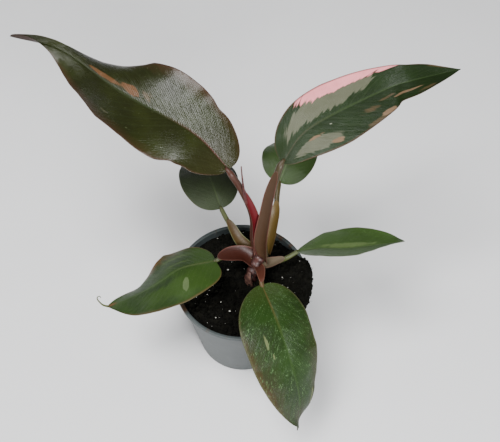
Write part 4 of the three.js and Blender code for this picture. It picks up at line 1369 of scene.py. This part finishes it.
CRUMB_CORNERS = np.array([
    (0, 0, 1), (0.89, 0, 0.45), (0.28, 0.85, 0.45), (-0.72, 0.53, 0.45), (-0.72, -0.53, 0.45),
    (0.28, -0.85, 0.45), (0.72, 0.53, -0.45), (-0.28, 0.85, -0.45), (-0.89, 0, -0.45),
    (-0.28, -0.85, -0.45), (0.72, -0.53, -0.45), (0, 0, -1)])
CRUMB_FACES = [
    (0, 1, 2), (0, 2, 3), (0, 3, 4), (0, 4, 5), (0, 5, 1), (1, 6, 2), (2, 6, 7), (2, 7, 3), (3, 7, 8),
    (3, 8, 4), (4, 8, 9), (4, 9, 5), (5, 9, 10), (5, 10, 1), (1, 10, 6), (11, 7, 6), (11, 8, 7),
    (11, 9, 8), (11, 10, 9), (11, 6, 10)]


CRUMB_SEED = 21
GRAIN_SEED = 8
STRANDS_ON_SPILL = 0.45
SPILL_TURNS = (-0.75, 0.42)
STRAND_LENGTH = (1.5, 4.5)
STRAND_HALF = (0.06, 0.16)
STRAND_STEPS = 8
STRAND_SIDES = 4


def scatter(random, count):
    """Places spread over the soil's top, with some on the spill."""
    turn = random.uniform(-math.pi, math.pi, count)
    share = np.sqrt(random.uniform(0.004, 0.985, count))
    radius = soil_outer(turn) * share
    return radius * np.cos(turn), radius * np.sin(turn)


def lumps_shell(random, count, smallest, largest, sunk):
    """Many small uneven lumps, partly sunk into the soil."""
    x, y = scatter(random, count)
    z = soil_top(x, y)
    shells = []
    for centre in zip(x, y, z):
        size = smallest * (largest / smallest) ** (random.uniform() ** 2.2)
        stretch = random.uniform(0.6, 1.25, (len(CRUMB_CORNERS), 1))
        corners = CRUMB_CORNERS * stretch * random.uniform(0.6, 1.2, 3) * size
        spin = random.uniform(0, 2 * math.pi)
        cosine, sine = math.cos(spin), math.sin(spin)
        turn = np.array([(cosine, -sine, 0), (sine, cosine, 0), (0, 0, 1)])
        points = corners @ turn.T + centre + (0, 0, size * (0.5 - sunk))
        shells.append((points, CRUMB_FACES, np.zeros_like(points)))
    return join_shells(shells)


def strands_shell(random, count):
    """Short curled peat fibres, more of them along the spill."""
    turn = np.where(random.uniform(size=count) < STRANDS_ON_SPILL, random.uniform(*SPILL_TURNS, count),
                    random.uniform(-math.pi, math.pi, count))
    radius = soil_outer(turn) * np.sqrt(random.uniform(0.05, 1.0, count))
    shells = []
    for angle, distance in zip(turn, radius):
        x, y = distance * math.cos(angle), distance * math.sin(angle)
        start = np.array([x, y, float(soil_top(x, y))])
        heading = random.uniform(0, 2 * math.pi)
        length = random.uniform(*STRAND_LENGTH) * MM
        step = np.array([math.cos(heading), math.sin(heading), random.uniform(0.0, 0.7)]) * length / 3
        bend = random.normal(size=3) * length * 0.12
        way = np.array([start, start + step + bend, start + 2 * step - bend, start + 2.6 * step + 2 * bend])
        half = np.linspace(1.0, 0.3, STRAND_STEPS) * random.uniform(*STRAND_HALF) * MM
        points, *_ = ribbon(way, [(0, 0.3, 1), (0.3, 0, 1)], half, 2 * half, 0 * half,
                            STRAND_STEPS, STRAND_SIDES)
        shells.append((points, ring_faces(STRAND_STEPS, STRAND_SIDES), np.zeros_like(points)))
    return join_shells(shells)


class PHILODENDRON_OT_soil(bpy.types.Operator):
    """Builds the crumbly soil with its loose crumbs and peat fibres"""

    bl_idname = "philodendron.soil"
    bl_label = "Soil"

    def execute(self, context):
        settings = context.scene.philodendron_soil
        random = np.random.default_rng(CRUMB_SEED)
        material = peat_material(settings.colour)
        points, faces = soil_shell()
        soil = make_mesh("soil_body", points, faces)
        add_piece("soil_body", soil, material, ["soil"])
        crumbs = make_mesh("soil_crumbs", *lumps_shell(random, settings.crumbs, 0.35 * MM, 1.5 * MM, 0.15))
        crumbs.shade_flat()
        add_piece("soil_crumbs", crumbs, material)
        strands = make_mesh("soil_strands", *strands_shell(random, settings.strands))
        add_piece("soil_strands", strands, material)
        return {"FINISHED"}


GRAIN_SHARE = 0.7
GRAIN_SUNK = 0.5 * MM


class PHILODENDRON_OT_perlite(bpy.types.Operator):
    """Builds the large and small perlite grains"""

    bl_idname = "philodendron.perlite"
    bl_label = "Perlite"

    def execute(self, context):
        random = np.random.default_rng(GRAIN_SEED)
        material = perlite_material()
        for name in GRAIN_NODES:
            low, high = (np.array(corner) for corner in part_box(name))
            corners = CRUMB_CORNERS * random.uniform(0.75, 1.0, (len(CRUMB_CORNERS), 1))
            points = (low + high) / 2 + GRAIN_SHARE * corners * (high - low) / 2 - (0, 0, GRAIN_SUNK)
            mesh = make_mesh(f"grain_{name}", points, CRUMB_FACES)
            mesh.shade_flat()
            add_piece(f"grain_{name}", mesh, material, [name])
        settings = context.scene.philodendron_soil
        small = make_mesh("small_grains", *lumps_shell(random, settings.grains, 0.2 * MM, 0.75 * MM, 0.0))
        small.shade_flat()
        add_piece("small_grains", small, material)
        return {"FINISHED"}


# ---- Stage ----

CAMERA_ELEVATION = 54.5
CAMERA_FROM_RIM = (0.0054, -0.2417, 0.4061)
CAMERA_LENS = 50.4
FLOOR_HALF = 1.6
BACKDROP_DISTANCE = 0.85
BACKDROP_BEND = 0.2

# Each light's place, size and colour.
OVERHEAD_WINDOW = ((-0.40, -0.18, 1.25), (0.62, 0.62), (1.0, 1.0, 1.0))
FRONT_WINDOW = ((0.50, -1.05, 0.66), (0.7, 0.5), (0.98, 0.99, 1.0))
ROOM_COLOUR = (0.95, 0.97, 1.0)


def add_light(name, window, target, power):
    place, size, colour = window
    data = bpy.data.lights.new(name, "AREA")
    data.shape = "RECTANGLE"
    data.size, data.size_y = size
    data.energy = power
    data.color = colour
    light = bpy.data.objects.new(name, data)
    light.location = place
    light.rotation_euler = (Vector(target) - Vector(place)).to_track_quat("-Z", "Y").to_euler()
    bpy.context.scene.collection.objects.link(light)


def backdrop_mesh():
    """A floor that curves up a little far behind the plant."""
    turns = np.linspace(0, math.pi / 2, 16)
    profile = [(-FLOOR_HALF, 0.0), (0.0, 0.0)]
    profile += [(BACKDROP_DISTANCE + BACKDROP_BEND * math.sin(a), BACKDROP_BEND * (1 - math.cos(a)))
                for a in turns]
    points = [(side * FLOOR_HALF, y, z) for y, z in profile for side in (-1, 1)]
    faces = [(2 * k, 2 * k + 1, 2 * k + 3, 2 * k + 2) for k in range(len(profile) - 1)]
    return make_mesh("backdrop", points, faces)


class PHILODENDRON_OT_stage(bpy.types.Operator):
    """Builds the pale floor, the soft lights and the camera"""

    bl_idname = "philodendron.stage"
    bl_label = "Stage"

    def execute(self, context):
        settings = context.scene.philodendron_stage
        scene = context.scene
        floor = bpy.data.objects.new("backdrop", backdrop_mesh())
        floor.data.materials.append(floor_material(settings.floor))
        scene.collection.objects.link(floor)

        middle = (0.0, 0.0, RIM_HEIGHT)
        add_light("overhead_window", OVERHEAD_WINDOW, middle, settings.key_power)
        add_light("front_window", FRONT_WINDOW, middle, settings.fill_power)
        world = bpy.data.worlds.new("room")
        world.use_nodes = True
        background = world.node_tree.nodes["Background"]
        background.inputs["Color"].default_value = rgba(ROOM_COLOUR)
        background.inputs["Strength"].default_value = settings.room_light
        scene.world = world

        data = bpy.data.cameras.new("camera")
        data.lens = CAMERA_LENS
        data.clip_start = 0.01
        camera = bpy.data.objects.new("camera", data)
        camera.location = Vector(CAMERA_FROM_RIM) + Vector((0, 0, RIM_HEIGHT))
        camera.rotation_euler = (math.radians(90 - CAMERA_ELEVATION), 0, 0)
        scene.collection.objects.link(camera)
        scene.camera = camera
        return {"FINISHED"}


# ---- Panel and registration ----

OPERATORS = (
    PHILODENDRON_OT_stage,
    PHILODENDRON_OT_pot,
    PHILODENDRON_OT_soil,
    PHILODENDRON_OT_perlite,
    PHILODENDRON_OT_roots,
    PHILODENDRON_OT_stem,
    PHILODENDRON_OT_stalks,
    PHILODENDRON_OT_blades,
)

SETTINGS = {
    "philodendron_pot": PhilodendronPot,
    "philodendron_soil": PhilodendronSoil,
    "philodendron_leaves": PhilodendronLeaves,
    "philodendron_stage": PhilodendronStage,
}


class PHILODENDRON_PT_build(bpy.types.Panel):
    bl_label = "Potted philodendron"
    bl_idname = "PHILODENDRON_PT_build"
    bl_space_type = "VIEW_3D"
    bl_region_type = "UI"
    bl_category = "Philodendron"

    def draw(self, context):
        for name, group in SETTINGS.items():
            box = self.layout.box()
            settings = getattr(context.scene, name)
            for key in group.__annotations__:
                box.prop(settings, key)
        for operator in OPERATORS:
            self.layout.operator(operator.bl_idname)


CLASSES = (*SETTINGS.values(), *OPERATORS, PHILODENDRON_PT_build)


def register():
    for item in CLASSES:
        bpy.utils.register_class(item)
    for name, group in SETTINGS.items():
        setattr(bpy.types.Scene, name, bpy.props.PointerProperty(type=group))


def unregister():
    for name in SETTINGS:
        delattr(bpy.types.Scene, name)
    for item in reversed(CLASSES):
        bpy.utils.unregister_class(item)


def main():
    register()
    for operator in OPERATORS:
        family, action = operator.bl_idname.split(".")
        getattr(getattr(bpy.ops, family), action)()


if __name__ == "__main__":
    main()
